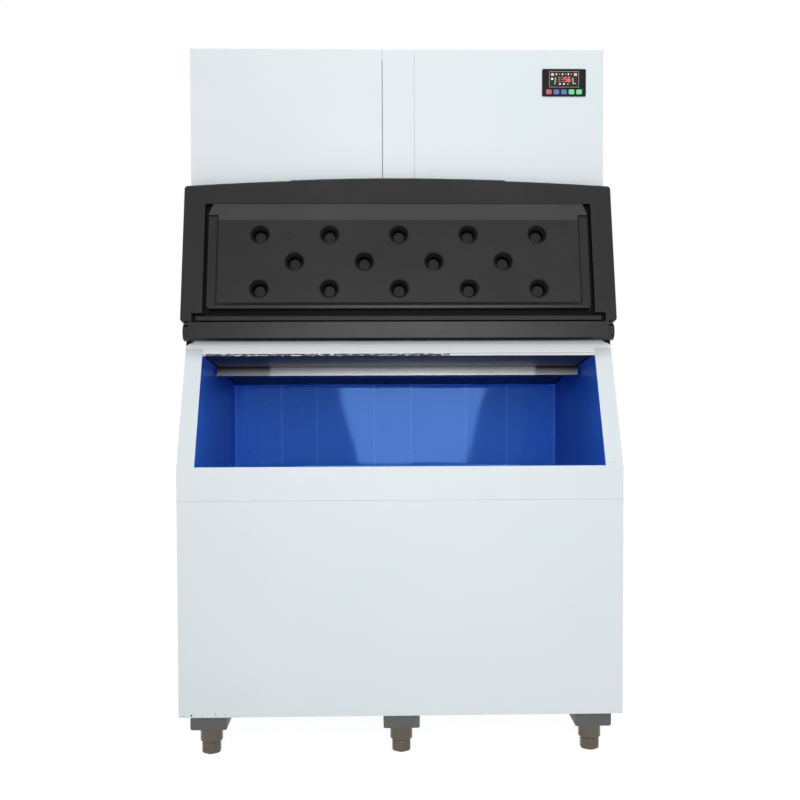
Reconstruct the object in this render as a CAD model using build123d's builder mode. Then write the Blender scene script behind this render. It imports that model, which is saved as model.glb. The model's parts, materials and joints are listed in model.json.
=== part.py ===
from build123d import *
import os
from math import asin, atan2, cos, degrees, hypot, pi, radians, sin

os.makedirs("parts", exist_ok=True)

# A cube ice machine: a machine head that freezes ice on upright plates, standing on an insulated
# storage bin with a slanted mouth and a lift-up lid, on six levelling feet.
# Millimetres. X runs to the right, Y from the front to the back, Z up from the floor.

# Overall sizes
cabinet_width = 1220
bin_depth = 830
leg_height = 115
front_height = 682
bin_height = 1032
slope_angle = 25
head_depth = 570
head_height = 862
rear_reach = 22

# Sheet metal and the clearances between pieces
sheet = 1.2
fit = 0.3
seam_gap = 0.6
running_gap = 0.4

# Bin front and mouth
sill_band = 88
sill_edge = 4.5
stile_width = 48
lintel_height = 46
lintel_ear = 24
lintel_flange = 22
corner_cut_width = 20
corner_cut_height = 14
bottom_return = 20

# Bin liner
liner_wall = 3
side_insulation = 44
front_insulation = 45
rear_insulation = 47
floor_insulation = 47
ceiling_drop = 136
band_width = 130
band_pitch = 325
band_height = 3

# Bin drain, through the liner's floor
drain_x = 0
drain_from_liner_back = 120
drain_radius = 13.2
drain_body_radius = 14.2
drain_bore = 10.2
drain_flange = 30
drain_flange_thickness = 2.5
drain_drop = 32

# Ice opening between the head and the bin, measured from the left side and from the head's front
ice_from_left = 70
ice_width = 560
ice_from_head_front = 165
ice_length = 105
chute_wall = 3
chute_flange = 12
chute_plate = 2
chute_below_ceiling = 2

# Ice deflector under the bin's ceiling
deflector_from_front = 356
deflector_drop = 32
deflector_side_gap = 8
deflector_sheet = 1.5
deflector_flange = 30
deflector_bulge = 5
deflector_bend_rise = 6
deflector_lip = 16
deflector_hem = 12

# Feet
foot_column_inset = 80
foot_row_inset = 60
pad_width = 100
pad_height = 40
pad_round = 8
pad_socket = 10
sleeve_radius = 31
sleeve_chamfer = 2
foot_radius = 27
foot_height = 33
sole_round = 7
shoulder_round = 2
stem_radius = 10
stem_length = 36

# Lid, measured up the lid from its pivot, and out of its inner face
lid_overhang = 10
lid_side_reach = 59
lid_centre_reach = 84
lid_handle_half = 309
lid_handle_step = 3
lid_handle_run = 6
lid_shoulder = 0.75
lid_shoulder_rise = 9.5
lid_foot_gap = 1.5
lid_rim = 30
lid_back = -19.4
lid_corner_radius = 10
lid_front_round = 7
lid_back_round = 10
lid_seal_gap = 2
lid_rest_gap = 3
pivot_past_crest = 12.5
barrel_inset = 14
barrel_clearance = 1.4
barrel_flat = 4
barrel_web = 24
rim_step = 2
nose_reach = 3.5
nose_out = 12
nose_bevel = 1.8
nose_bevel_out = 22
nose_top_up = 3.1
nose_top_sink = 5.5
plug_side_gap = 17
plug_foot_gap = 3
plug_head_gap = 21
plug_corner_width = 12
plug_corner_height = 36
plug_foot_cut = 6
plug_edge = 34
plug_face = 45
plug_border_rise = 2
field_side = 30
field_foot = 14
field_head = 53
field_step = 6
moat_width = 12.5
moat_head = 3
moat_round = 5
moat_depth = 12
slot_inset = 9
slot_low = 23
slot_wall = 12
bar_inset = 12
bar_low = 28
bar_high = 40
bar_height = 10
bar_round = 4
dimple_pitch = 198.5
dimple_row_pitch = 80.5
dimple_drop = 1
dimple_mouth = 27.5
dimple_lip = 2
dimple_floor = 15
dimple_depth = 30
pin_radius = 6
pin_insertion = 34
bracket_gap = 1
bracket_width = 15
bracket_foot = 58
bracket_plate = 4
bracket_toe = 2
bracket_crown_run = 18
bracket_crown_rise = 6
bracket_heel = 16
bracket_tip = 3

# Head
tray_sheet = 1.5
tray_rim = 40
post_width = 30
post_wall = 3
centre_strip_left = -46
centre_strip_right = 48.5
dark_seam = 1.8
panel_flange = 14
flange_foot_gap = 4
flange_head_gap = 12
partition_from_left = 720
louvre_rows = 12
louvre_column_pitch = 240
louvre_rise = 90
louvre_pitch = 22
louvre_length = 190
louvre_height = 8
partition_wall_width = 20

# Control panel in the right front panel
control_width = 130
control_height = 80.6
control_from_right = 52.4
control_from_top = 56
control_proud = 2.5
control_body_inset = 2
control_body_depth = 14
control_wall = 1.5
bezel_round = 4
screen_width = 89
screen_height = 48
screen_rise = 10
screen_ledge = 3
lens_thickness = 2
button_width = 16.8
button_height = 14.4
button_pitch = 22.5
button_drop = 27
button_proud = 1.5
button_flange = 1.2
button_flange_lip = 1.2
button_travel = 1.0
button_round = 5
button_edge_round = 1
board_gap = 0.6
board_thickness = 1.6
relay_size = (30, 14, 7)
relay_place = (-24, 0)
chip_size = (22, 22, 4)
chip_place = (22, 6)

# Ice making parts
frame_from_left = 38
evaporator_side_gap = 6
evaporator_headroom = 187
evaporator_depth = 26
evaporator_gap = 20
evaporator_base = 3
evaporator_back = 8
coil_radius = 5
coil_rows = 6
coil_margin = 60
coil_side = 20
cell_columns = 11
cell_rows = 16
cell_wall = 2.4
rail_height = 14
rail_depth = 14
rail_from_top = 10
frame_front_reach = 12
frame_rear_reach = 74
frame_top_reach = 20
shelf_height = 4
shelf_from_edge = 12
shelf_from_back = 2
frame_plate = 2
trough_height = 80
trough_depth = 94
trough_wall = 3
trough_rise = 103
evaporator_rise = 255
ice_parts_from_head_front = 306
curtain_thickness = 3
curtain_gap = 10
curtain_barrel = 5
curtain_axis_rise = 16
curtain_overhang = 14
curtain_end_gap = 2
trunnion_end_gap = 0.5
trunnion_radius = 3
hanger_plate = 2
hanger_margin = 8
tube_radius = 9
tube_from_plate = 4
tube_rise = 40
spray_radius = 1.2
spray_depth = 4
hose_radius = 6
pump_radius = 20
pump_height = 90
pump_zone = 70
pump_plate_half = 28
pump_plate = 4
pump_stem_radius = 9
pump_stem_reach = 61
fill_radius = 5
fill_bore = 3.6
fill_bend = 14
fill_from_back = 24
fill_above_trough = 50
pipe_hole_radius = 20
pipe_rise = 40
pipe_from_rail = 18

# Connections at the back
inlet_from_left = 120
inlet_rise = 198
inlet_radius = 13.2
inlet_body_radius = 14
inlet_bore = 8
trough_drain_from_left = 70
trough_drain_rise = 60
drain_pipe_radius = 10
drain_pipe_wall = 2
drain_pipe_bend = 20
valve_gap = 6
valve_width = 40
valve_depth = 56
valve_height = 44
valve_coil_radius = 16
valve_coil_height = 34
valve_flange_radius = 20
valve_flange = 6
nipple_radius = 11
gland_from_right = 60
gland_rise = 200
gland_radius = 10
gland_nut_radius = 15
gland_cap_radius = 12
gland_bore = 4.5
gland_nut = 6
gland_cap = 14
gland_thread = 24
gland_locknut = 5
shoulder = 1
screw_radius = 4.5
screw_head = 2
screw_inset = 12
screw_row_inset = 20
head_screw_rows = 5
screw_round = 1

# Refrigeration parts
compressor_radius = 95
compressor_height = 270
compressor_from_right = 300
compressor_from_back = 290
mount_height = 12
mount_radius = 13
mount_pitch = (170, 130)
base_width = 210
base_depth = 170
base_plate = 4
compressor_round = 42
terminal_width = 52
terminal_proud = 18
terminal_sunk = 30
terminal_height = 60
terminal_rise = 130
condenser_width = 400
condenser_headroom = 82
condenser_depth = 40
condenser_from_right = 40
condenser_rise = 360
fin_count = 40
fin_thickness = 2
header_height = 6
condenser_rows = 9
shroud_depth = 95
shroud_sheet = 1.5
fan_margin = 50
fan_tip_gap = 10
fan_depth = 30
hub_radius = 32
motor_radius = 42
motor_length = 46
motor_round = 4
motor_gap = 6
shaft_inset = 10
blade_count = 5
blade_tilt = 24
blade_chord = 62
blade_sheet = 2
blade_sunk = 3
hub_back = 4
spoke_count = 4
shaft_radius = 5
guard_wire = 2.5
guard_overlap = 8
guard_ring_count = 5
guard_ring_pitch = 31
pipe_radius = 6.5
liquid_radius = 4
hot_bend = 24
liquid_bend = 18
suction_bend = 15
pipe_offset = 40
hot_rise = 60
liquid_rise = 30
liquid_inset = 30
suction_loop = 40
drier_radius = 20
drier_length = 50
pipe_end_gap = 2
box_width = 108
box_depth = 190
box_height = 290
box_from_head_front = 60
box_rise = 400
box_round = 3

# Worked out from the sizes above
half_width = cabinet_width / 2
y_front = -(bin_depth + rear_reach) / 2
y_back = y_front + bin_depth
z_floor = leg_height
z_break = z_floor + front_height
z_top = z_floor + bin_height
z_head_top = z_top + head_height
y_head = y_back - head_depth
inset = sheet + fit
slope_turn = radians(slope_angle)
slope_length = (z_top - z_break) / cos(slope_turn)
condenser_height = head_height - condenser_rise - condenser_headroom
fan_opening = min(condenser_width, condenser_height) / 2 - fan_margin
fan_radius = fan_opening - fan_tip_gap


def on_slope(up, out=0):
    """The (y, z) of a point so far up the slanted front, and so far out of it."""
    return (
        y_front + up * sin(slope_turn) - out * cos(slope_turn),
        z_break + up * cos(slope_turn) + out * sin(slope_turn),
    )


def beside(points, gap):
    """The same run of (y, z) points moved to its right by gap, with mitred corners."""
    normals = []
    for (y0, z0), (y1, z1) in zip(points, points[1:]):
        length = ((y1 - y0) ** 2 + (z1 - z0) ** 2) ** 0.5
        normals.append(((z1 - z0) / length, (y0 - y1) / length))
    moved = []
    for index, (y, z) in enumerate(points):
        before = normals[max(index - 1, 0)]
        after = normals[min(index, len(normals) - 1)]
        scale = gap / (1 + before[0] * after[0] + before[1] * after[1])
        moved.append((y + (before[0] + after[0]) * scale, z + (before[1] + after[1]) * scale))
    return moved


def folded(run, thickness):
    """Outline of a sheet folded along a run of (y, z) points, its thickness to the run's right."""
    return run + beside(run, thickness)[::-1]


def block(x0, x1, y0, y1, z0, z1, mode=Mode.ADD):
    """A box between two corners, in the sub-part being made."""
    with Locations(((x0 + x1) / 2, (y0 + y1) / 2, (z0 + z1) / 2)):
        Box(x1 - x0, y1 - y0, z1 - z0, mode=mode)


def along_x(outline, x0, x1, mode=Mode.ADD):
    """A prism of a (y, z) outline from x0 to x1, in the sub-part being made."""
    with BuildSketch(Plane.YZ.offset(x0)) as profile:
        Polygon(*outline, align=None)
    extrude(profile.sketch, amount=x1 - x0, mode=mode)


def rod(centre, radius, length, axis="z", mode=Mode.ADD):
    """A round bar about a centre, along one axis, in the sub-part being made."""
    turn = {"x": (0, 90, 0), "y": (90, 0, 0), "z": (0, 0, 0)}[axis]
    with Locations(Location(centre, turn)):
        Cylinder(radius, length, mode=mode)


def pipe(points, bend, radius, bore=0):
    """A pipe along straight runs with round bends, in the sub-part being made."""
    with BuildLine() as route:
        if len(points) > 2:
            FilletPolyline(*points, radius=bend)
        else:
            Line(*points)
    with BuildSketch(Plane(route.line @ 0, z_dir=route.line % 0)) as section:
        Circle(radius)
        if bore:
            Circle(bore, mode=Mode.SUBTRACT)
    sweep(section.sketch, path=route.line)


# Storage bin, outer sheet metal
z_seam = z_break - sill_band
mouth_half = half_width - stile_width
mouth_low = sill_edge
mouth_high = slope_length - lintel_height
stile_top = slope_length - lintel_ear
y_crest = on_slope(slope_length)[0]
reach = 6

with BuildPart() as bin_front_panel:
    front_run = [
        (y_front + bottom_return, z_floor),
        (y_front, z_floor),
        (y_front, z_seam - seam_gap),
    ]
    along_x(folded(front_run, sheet), -half_width, half_width)

# One folded sheet: the band under the mouth, the mouth's lower edge and both stiles beside it
with BuildPart() as bin_front_surround:
    surround_run = [(y_front, z_seam), (y_front, z_break), on_slope(stile_top - seam_gap)]
    along_x(folded(surround_run, sheet), -half_width, half_width)
    mouth_window = [
        on_slope(mouth_low, reach),
        on_slope(slope_length, reach),
        on_slope(slope_length, -reach),
        on_slope(mouth_low, -reach),
    ]
    along_x(mouth_window, -mouth_half, mouth_half, Mode.SUBTRACT)

# The sheet over the mouth, with ears over the stiles and cut top corners for the hinge brackets
with BuildPart() as bin_lintel:
    lintel_run = [on_slope(mouth_high), on_slope(slope_length), (y_crest + lintel_flange, z_top)]
    along_x(folded(lintel_run, sheet), -half_width, half_width)
    ear_notch = [
        on_slope(mouth_high - reach, reach),
        on_slope(stile_top, reach),
        on_slope(stile_top, -reach),
        on_slope(mouth_high - reach, -reach),
    ]
    notch_half = mouth_half - seam_gap
    along_x(ear_notch, -half_width, -notch_half, Mode.SUBTRACT)
    along_x(ear_notch, notch_half, half_width, Mode.SUBTRACT)
    crest_plane = Plane(
        origin=(0, *on_slope(slope_length)),
        x_dir=(1, 0, 0),
        z_dir=(0, -cos(slope_turn), sin(slope_turn)),
    )
    for side in (-1, 1):
        with BuildSketch(crest_plane.offset(-reach)):
            Polygon(
                (side * half_width, reach),
                (side * (half_width - corner_cut_width), reach),
                (side * (half_width - corner_cut_width), 0),
                (side * half_width, -corner_cut_height),
                align=None,
            )
        extrude(amount=2 * reach, mode=Mode.SUBTRACT)
        cut_x = sorted((side * (half_width - corner_cut_width), side * half_width))
        block(*cut_x, y_crest - reach, y_crest + lintel_flange, z_top - reach, z_top, Mode.SUBTRACT)


def shell_outline(front, top, bottom, back):
    """The bin's side outline, drawn in by so much at its front, top, bottom and back."""
    crest_up = (z_top - top - z_break + front * sin(slope_turn)) / cos(slope_turn)
    break_up = front * (1 - cos(slope_turn)) / sin(slope_turn)
    return [
        (y_front + front, z_floor + bottom),
        on_slope(break_up, -front),
        on_slope(crest_up, -front),
        (y_back - back, z_top - top),
        (y_back - back, z_floor + bottom),
    ]


side_outline = shell_outline(inset, inset, sheet + fit, 0)
with BuildPart() as bin_left_side_panel:
    along_x(side_outline, -half_width, -half_width + sheet)

with BuildPart() as bin_right_side_panel:
    along_x(side_outline, half_width - sheet, half_width)

with BuildPart() as bin_back_panel:
    block(
        -half_width + inset, half_width - inset, y_back - sheet, y_back,
        z_floor + inset, z_top - inset,
    )

liner_back = y_back - rear_insulation - liner_wall
drain_y = liner_back - drain_from_liner_back
drain_hole = drain_body_radius + fit
with BuildPart() as bin_base_panel:
    block(
        -half_width, half_width, y_front + bottom_return + fit, y_back, z_floor, z_floor + sheet,
    )
    rod((drain_x, drain_y, z_floor), drain_hole, 4 * sheet, mode=Mode.SUBTRACT)

# The opening in the bin's top that the ice falls through, and the duct that lines it
ice_left = -half_width + ice_from_left
ice_right = ice_left + ice_width
ice_front = y_head + ice_from_head_front
ice_rear = ice_front + ice_length
tray_z = z_top + fit
tray_top = tray_z + tray_sheet


def ice_hole(z0, z1):
    """Cut the ice opening, with clearance round its duct, from the sub-part being made."""
    block(ice_left - fit, ice_right + fit, ice_front - fit, ice_rear + fit, z0, z1, Mode.SUBTRACT)


with BuildPart() as bin_top_panel:
    block(
        -half_width, half_width, y_crest + lintel_flange + fit, y_back, z_top - sheet, z_top,
    )
    ice_hole(z_top - reach, z_top + reach)

# Liner: one moulded tub with a sloping ceiling, open at the mouth and under the ice opening
liner_half = half_width - side_insulation - liner_wall
liner_front = y_front + front_insulation + liner_wall
liner_floor = z_floor + floor_insulation + liner_wall
ceiling_back = z_top - ceiling_drop
ledge_z = on_slope(mouth_low)[1]


def ceiling(y):
    """Height of the liner's sloping ceiling at a depth y."""
    front_y, front_z = on_slope(mouth_high, -inset)
    return front_z + (ceiling_back - front_z) * (y - front_y) / (liner_back - front_y)


liner_outer = [
    (liner_front - liner_wall, liner_floor - liner_wall),
    (liner_front - liner_wall, ledge_z - liner_wall),
    on_slope(mouth_low - liner_wall / cos(slope_turn), -inset),
    on_slope(mouth_high + liner_wall, -inset),
    (liner_back + liner_wall, ceiling_back + liner_wall),
    (liner_back + liner_wall, liner_floor - liner_wall),
]
liner_inner = [
    (liner_front, liner_floor),
    (liner_front, ledge_z),
    on_slope(mouth_low, -inset),
    on_slope(mouth_low, reach),
    on_slope(mouth_high, reach),
    on_slope(mouth_high, -inset),
    (liner_back, ceiling_back),
    (liner_back, liner_floor),
]

with BuildPart() as bin_liner:
    along_x(liner_outer, -liner_half - liner_wall, liner_half + liner_wall)
    along_x(liner_inner, -liner_half, liner_half, Mode.SUBTRACT)
    for centre in (-band_pitch, 0, band_pitch):
        block(
            centre - band_width / 2, centre + band_width / 2, liner_back - band_height,
            liner_back + liner_wall, liner_floor - liner_wall, ceiling_back,
        )
    ice_hole(ceiling_back, z_top)
    rod((drain_x, drain_y, liner_floor), drain_hole, 4 * liner_wall, mode=Mode.SUBTRACT)

# Foam between the liner and the outer sheets
with BuildPart() as bin_insulation:
    foam_half = half_width - inset
    along_x(shell_outline(inset, inset, inset, inset), -foam_half, foam_half)
    liner_room = beside(liner_outer + liner_outer[:1], -fit)
    hollow_half = liner_half + liner_wall + fit
    corner = beside([liner_outer[-1], liner_outer[0], liner_outer[1]], -fit)[1]
    liner_room[0] = corner
    liner_room[-1] = corner
    along_x(liner_room[:-1], -hollow_half, hollow_half, Mode.SUBTRACT)
    ice_hole(ceiling_back, z_top)
    rod((drain_x, drain_y, z_floor), drain_hole, 4 * floor_insulation, mode=Mode.SUBTRACT)

drain_bottom = z_floor - drain_drop
drain_top = liner_floor + fit + drain_flange_thickness
drain_shoulder = z_floor - 2
with BuildPart() as bin_drain_fitting:
    rod((drain_x, drain_y, (drain_bottom + drain_top) / 2), drain_radius, drain_top - drain_bottom)
    body_length = drain_top - drain_shoulder
    rod((drain_x, drain_y, drain_shoulder + body_length / 2), drain_body_radius, body_length)
    flange_z = drain_top - drain_flange_thickness / 2
    rod((drain_x, drain_y, flange_z), drain_flange, drain_flange_thickness)
    bore_length = 6 * floor_insulation
    rod((drain_x, drain_y, z_floor), drain_bore, bore_length, mode=Mode.SUBTRACT)

with BuildPart() as ice_chute:
    chute_top = tray_top + fit + chute_plate
    chute_side = [
        (ice_front, chute_top),
        (ice_front, ceiling(ice_front) - chute_below_ceiling),
        (ice_rear, ceiling(ice_rear) - chute_below_ceiling),
        (ice_rear, chute_top),
    ]
    along_x(chute_side, ice_left, ice_right)
    block(
        ice_left - chute_flange, ice_right + chute_flange, ice_front - chute_flange,
        ice_rear + chute_flange, tray_top + fit, chute_top,
    )
    block(
        ice_left + chute_wall, ice_right - chute_wall, ice_front + chute_wall,
        ice_rear - chute_wall, ceiling_back - reach, chute_top + reach, Mode.SUBTRACT,
    )

with BuildPart() as ice_deflector:
    deflector_y = y_front + deflector_from_front
    deflector_z = ceiling(deflector_y) - deflector_drop
    deflector_run = [
        (deflector_y + deflector_flange, ceiling(deflector_y + deflector_flange) - fit),
        (deflector_y, ceiling(deflector_y) - fit),
        (deflector_y - deflector_bulge, deflector_z + deflector_bend_rise),
        (deflector_y, deflector_z),
        (deflector_y + deflector_lip, deflector_z),
        (deflector_y + deflector_lip, deflector_z + deflector_hem),
    ]
    deflector_half = liner_half - deflector_side_gap
    along_x(folded(deflector_run, -deflector_sheet), -deflector_half, deflector_half)

# Feet: a pad under each corner and under the middle of both long sides, a sleeve and a screw foot
foot_columns = (-half_width + foot_column_inset, 0, half_width - foot_column_inset)
foot_rows = (y_front + foot_row_inset, y_back - foot_row_inset)
foot_places = [(x, y) for y in foot_rows for x in foot_columns]
pad_z = z_floor - fit - pad_height

with BuildPart() as leg_pads:
    with BuildSketch(Plane.XY.offset(pad_z)):
        with Locations(*foot_places):
            Rectangle(pad_width, pad_width)
    extrude(amount=pad_height)
    fillet(edges().group_by(Axis.Z)[0], pad_round)
    for x, y in foot_places:
        rod((x, y, pad_z), stem_radius + running_gap, 2 * pad_socket, mode=Mode.SUBTRACT)

with BuildPart() as leg_sleeves:
    with BuildSketch(Plane.XY.offset(foot_height + fit)):
        with Locations(*foot_places):
            Circle(sleeve_radius)
            Circle(stem_radius + running_gap, mode=Mode.SUBTRACT)
    extrude(amount=pad_z - foot_height - 2 * fit)
    lower_rims = edges().filter_by(GeomType.CIRCLE).group_by(Axis.Z)[0]
    chamfer(lower_rims.group_by(SortBy.RADIUS)[-1], sleeve_chamfer)


def screw_foot(x, y):
    """A levelling foot: a turned foot with a rounded sole, and its stem."""
    with BuildPart() as foot:
        with Locations((x, y, foot_height / 2)):
            Cylinder(foot_radius, foot_height)
        fillet(foot.edges().filter_by(GeomType.CIRCLE).sort_by(Axis.Z)[0], sole_round)
        fillet(foot.edges().filter_by(GeomType.CIRCLE).sort_by(Axis.Z)[-1], shoulder_round)
        rod((x, y, foot_height + stem_length / 2 - 1), stem_radius, stem_length + 2)
    return foot


foot_front_left = screw_foot(*foot_places[0])
foot_front_middle = screw_foot(*foot_places[1])
foot_front_right = screw_foot(*foot_places[2])
foot_rear_left = screw_foot(*foot_places[3])
foot_rear_middle = screw_foot(*foot_places[4])
foot_rear_right = screw_foot(*foot_places[5])

# Lid: drawn open, leaning back on the head. Closed, its rim lies along the slanted front.
pivot_up_slope = slope_length + pivot_past_crest
pivot_y, pivot_z = on_slope(pivot_up_slope, lid_rim + lid_seal_gap)
lid_half = half_width + lid_overhang
barrel_half = half_width - barrel_inset
barrel_radius = pivot_z - z_top - barrel_clearance
lid_foot = barrel_radius + lid_foot_gap
plug_half = mouth_half - plug_side_gap
plug_low = pivot_up_slope - mouth_high + plug_foot_gap
plug_high = pivot_up_slope - mouth_low - plug_head_gap
field_half = plug_half - field_side
field_low = plug_low + field_foot
field_high = plug_high - field_head
moat_half = plug_half + moat_width
moat_low = plug_low - moat_width
moat_high = plug_high + moat_head
slot_half = barrel_half - slot_inset
slot_high = plug_low - slot_wall
bar_half = slot_half - bar_inset
dimple_middle_row = (field_low + field_high) / 2 - dimple_drop
lid_side_length = plug_high + lid_side_reach
lid_centre_length = plug_high + lid_centre_reach

# The lid leans until the round of its top back edge is a small gap short of the head's front
round_up = lid_centre_length - lid_back_round
round_out = -lid_back - lid_back_round
round_reach = y_head - lid_rest_gap - lid_back_round - pivot_y
lid_turn = asin(round_reach / hypot(round_up, round_out)) - atan2(round_out, round_up)
lid_up = (0, sin(lid_turn), cos(lid_turn))
lid_out = (0, -cos(lid_turn), sin(lid_turn))
lid_plane = Plane(origin=(0, pivot_y, pivot_z), x_dir=(1, 0, 0), z_dir=lid_out)
lid_section = Plane(origin=(0, pivot_y, pivot_z), x_dir=(1, 0, 0), z_dir=lid_up)
lid_axis = Axis((0, pivot_y, pivot_z), lid_out)


def in_lid(up, out):
    """The (y, z) of a point so far up the lid from its pivot, and so far out of its inner side."""
    return (
        pivot_y + up * lid_up[1] + out * lid_out[1],
        pivot_z + up * lid_up[2] + out * lid_out[2],
    )


plug_outline = [
    (-plug_half, plug_low + plug_foot_cut),
    (-plug_half + plug_foot_cut, plug_low),
    (plug_half - plug_foot_cut, plug_low),
    (plug_half, plug_low + plug_foot_cut),
    (plug_half, plug_high - plug_corner_height),
    (plug_half - plug_corner_width, plug_high),
    (-plug_half + plug_corner_width, plug_high),
    (-plug_half, plug_high - plug_corner_height),
]

# The raised panel that enters the mouth has a long bevel at the top. At the sides and the foot a low
# border runs round it, and the field stands a step above the border.
with BuildPart() as plug_sides:
    plug_root = lid_rim - moat_depth
    plug_border = plug_edge + plug_border_rise
    shoulder_up = plug_high - plug_corner_height
    with BuildSketch(lid_section):
        Polygon(
            (-plug_half - 1, -plug_root),
            (plug_half + 1, -plug_root),
            (plug_half + 1, -plug_edge),
            (field_half + field_step, -plug_border),
            (field_half, -plug_face),
            (-field_half, -plug_face),
            (-field_half - field_step, -plug_border),
            (-plug_half - 1, -plug_edge),
            align=None,
        )
    extrude(amount=shoulder_up)
    with BuildSketch(lid_section.offset(shoulder_up)):
        Polygon(
            (-plug_half - 1, -plug_root),
            (plug_half + 1, -plug_root),
            (plug_half + 1, -plug_face),
            (-plug_half - 1, -plug_face),
            align=None,
        )
    extrude(amount=plug_corner_height + 1)

with BuildPart() as lid_plug:
    with BuildSketch(lid_plane.offset(plug_root)):
        Polygon(*plug_outline, align=None)
    extrude(amount=plug_face - plug_root)
    bevel_profile = [
        in_lid(plug_low - 1, plug_root),
        in_lid(plug_low - 1, plug_edge),
        in_lid(field_low - field_step, plug_border),
        in_lid(field_low, plug_face),
        in_lid(field_high, plug_face),
        in_lid(plug_high + 1, plug_edge),
        in_lid(plug_high + 1, plug_root),
    ]
    along_x(bevel_profile, -plug_half - 1, plug_half + 1, Mode.INTERSECT)
    add(plug_sides.part, mode=Mode.INTERSECT)

dimple_rows = [
    (dimple_middle_row + dimple_row_pitch, 5),
    (dimple_middle_row, 4),
    (dimple_middle_row - dimple_row_pitch, 5),
]
dimple_places = []
for row_height, count in dimple_rows:
    first = -dimple_pitch * (count - 1) / 2
    for index in range(count):
        dimple_places.append((first + index * dimple_pitch, row_height))

with BuildPart() as lid:
    with BuildSketch(lid_plane.offset(lid_back)):
        with BuildLine():
            lip_up = lid_centre_length - lid_handle_run
            left_step = (-lid_handle_half - lid_handle_run, lip_up - lid_handle_step)
            left_lip = (-lid_handle_half, lip_up)
            right_lip = (lid_handle_half, lip_up)
            right_step = (lid_handle_half + lid_handle_run, lip_up - lid_handle_step)
            left_shoulder = (-lid_half * lid_shoulder, lid_side_length + lid_shoulder_rise)
            right_shoulder = (lid_half * lid_shoulder, lid_side_length + lid_shoulder_rise)
            Polyline(
                (lid_half, lid_side_length), (lid_half, lid_foot),
                (-lid_half, lid_foot), (-lid_half, lid_side_length),
            )
            Spline((-lid_half, lid_side_length), left_shoulder, left_step)
            Line(left_step, left_lip)
            ThreePointArc(left_lip, (0, lid_centre_length), right_lip)
            Line(right_lip, right_step)
            Spline(right_step, right_shoulder, (lid_half, lid_side_length))
        make_face()
    extrude(amount=lid_rim - lid_back)
    corner_edges = edges().filter_by(Axis((0, 0, 0), lid_out))
    outer_corners = corner_edges.sort_by(Axis.X)[:2] + corner_edges.sort_by(Axis.X)[-2:]
    fillet(outer_corners, lid_corner_radius)
    fillet(faces().sort_by(lid_axis)[-1].edges(), lid_front_round)
    fillet(faces().sort_by(lid_axis)[0].edges(), lid_back_round)
    with BuildSketch(Plane.YZ.offset(-barrel_half)):
        with BuildLine():
            back_corner = in_lid((barrel_radius**2 - lid_back**2) ** 0.5, lid_back)
            low_corner = in_lid(-(barrel_radius**2 - barrel_flat**2) ** 0.5, barrel_flat)
            web_up = lid_foot + barrel_web
            Polyline(
                low_corner, in_lid(-barrel_radius - nose_reach, nose_out),
                in_lid(nose_bevel - barrel_radius, nose_bevel_out),
                in_lid(nose_top_up, lid_rim - nose_top_sink),
                in_lid(slot_low, lid_rim - rim_step), in_lid(web_up, lid_rim - rim_step),
                in_lid(web_up, lid_back), back_corner,
            )
            barrel_low = in_lid(-barrel_radius * sin(pi / 4), -barrel_radius * cos(pi / 4))
            ThreePointArc(back_corner, barrel_low, low_corner)
        make_face()
    extrude(amount=2 * barrel_half)
    with BuildSketch(lid_plane.offset(lid_rim + 1)):
        with Locations((0, (moat_low + moat_high) / 2)):
            RectangleRounded(2 * moat_half, moat_high - moat_low, moat_round)
        with Locations((0, (slot_low + slot_high) / 2)):
            Rectangle(2 * slot_half, slot_high - slot_low)
    extrude(amount=-moat_depth - 1, mode=Mode.SUBTRACT)
    with BuildSketch(lid_plane.offset(lid_rim - moat_depth - 1)):
        with Locations((0, (bar_low + bar_high) / 2)):
            RectangleRounded(2 * bar_half, bar_high - bar_low, bar_round)
    extrude(amount=bar_height + 1)
    add(lid_plug.part)
    for x, up in dimple_places:
        middle = plug_face - dimple_depth / 2
        with Locations(lid_plane.location * Location((x, up, middle))):
            Cone(dimple_floor, dimple_mouth, dimple_depth, mode=Mode.SUBTRACT)
        with Locations(lid_plane.location * Location((x, up, plug_face - dimple_lip / 2))):
            Cone(dimple_mouth, dimple_mouth + dimple_lip, dimple_lip, mode=Mode.SUBTRACT)
    for side in (-1, 1):
        bore_end = side * (barrel_half - pin_insertion / 2)
        rod((bore_end, pivot_y, pivot_z), pin_radius + running_gap, pin_insertion + 2, "x", Mode.SUBTRACT)

# Hinge brackets: one stands at each end of the bin's top edge. Each carries a stub pin, and its
# tip fills the cut corner of the lintel.
with BuildPart() as hinge_brackets:
    bracket_z = z_top + fit
    bracket_outline = [
        (pivot_y - bracket_toe, bracket_z),
        (pivot_y - bracket_toe, pivot_z),
        (pivot_y + bracket_crown_run, pivot_z + bracket_crown_rise),
        (y_crest + bracket_heel, bracket_z + bracket_plate),
        (y_crest + bracket_foot, bracket_z + bracket_plate),
        (y_crest + bracket_foot, bracket_z),
    ]
    bracket_near = barrel_half + bracket_gap
    bracket_far = bracket_near + bracket_width
    tip_edge = half_width - corner_cut_width + seam_gap
    for side in (-1, 1):
        x0, x1 = sorted((side * bracket_near, side * bracket_far))
        along_x(bracket_outline, x0, x1)
        rod(((x0 + x1) / 2, pivot_y, pivot_z), barrel_radius, bracket_width, "x")
        with BuildSketch(crest_plane.offset(-sheet)):
            Polygon(
                (side * half_width, bracket_tip), (side * tip_edge, bracket_tip), (side * tip_edge, 0),
                (side * half_width, seam_gap - corner_cut_height),
                align=None,
            )
        extrude(amount=sheet)
        pin_end = barrel_half - pin_insertion
        pin_middle = side * (pin_end + bracket_near) / 2
        rod((pin_middle, pivot_y, pivot_z), pin_radius, bracket_near - pin_end + 2, "x")

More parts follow.
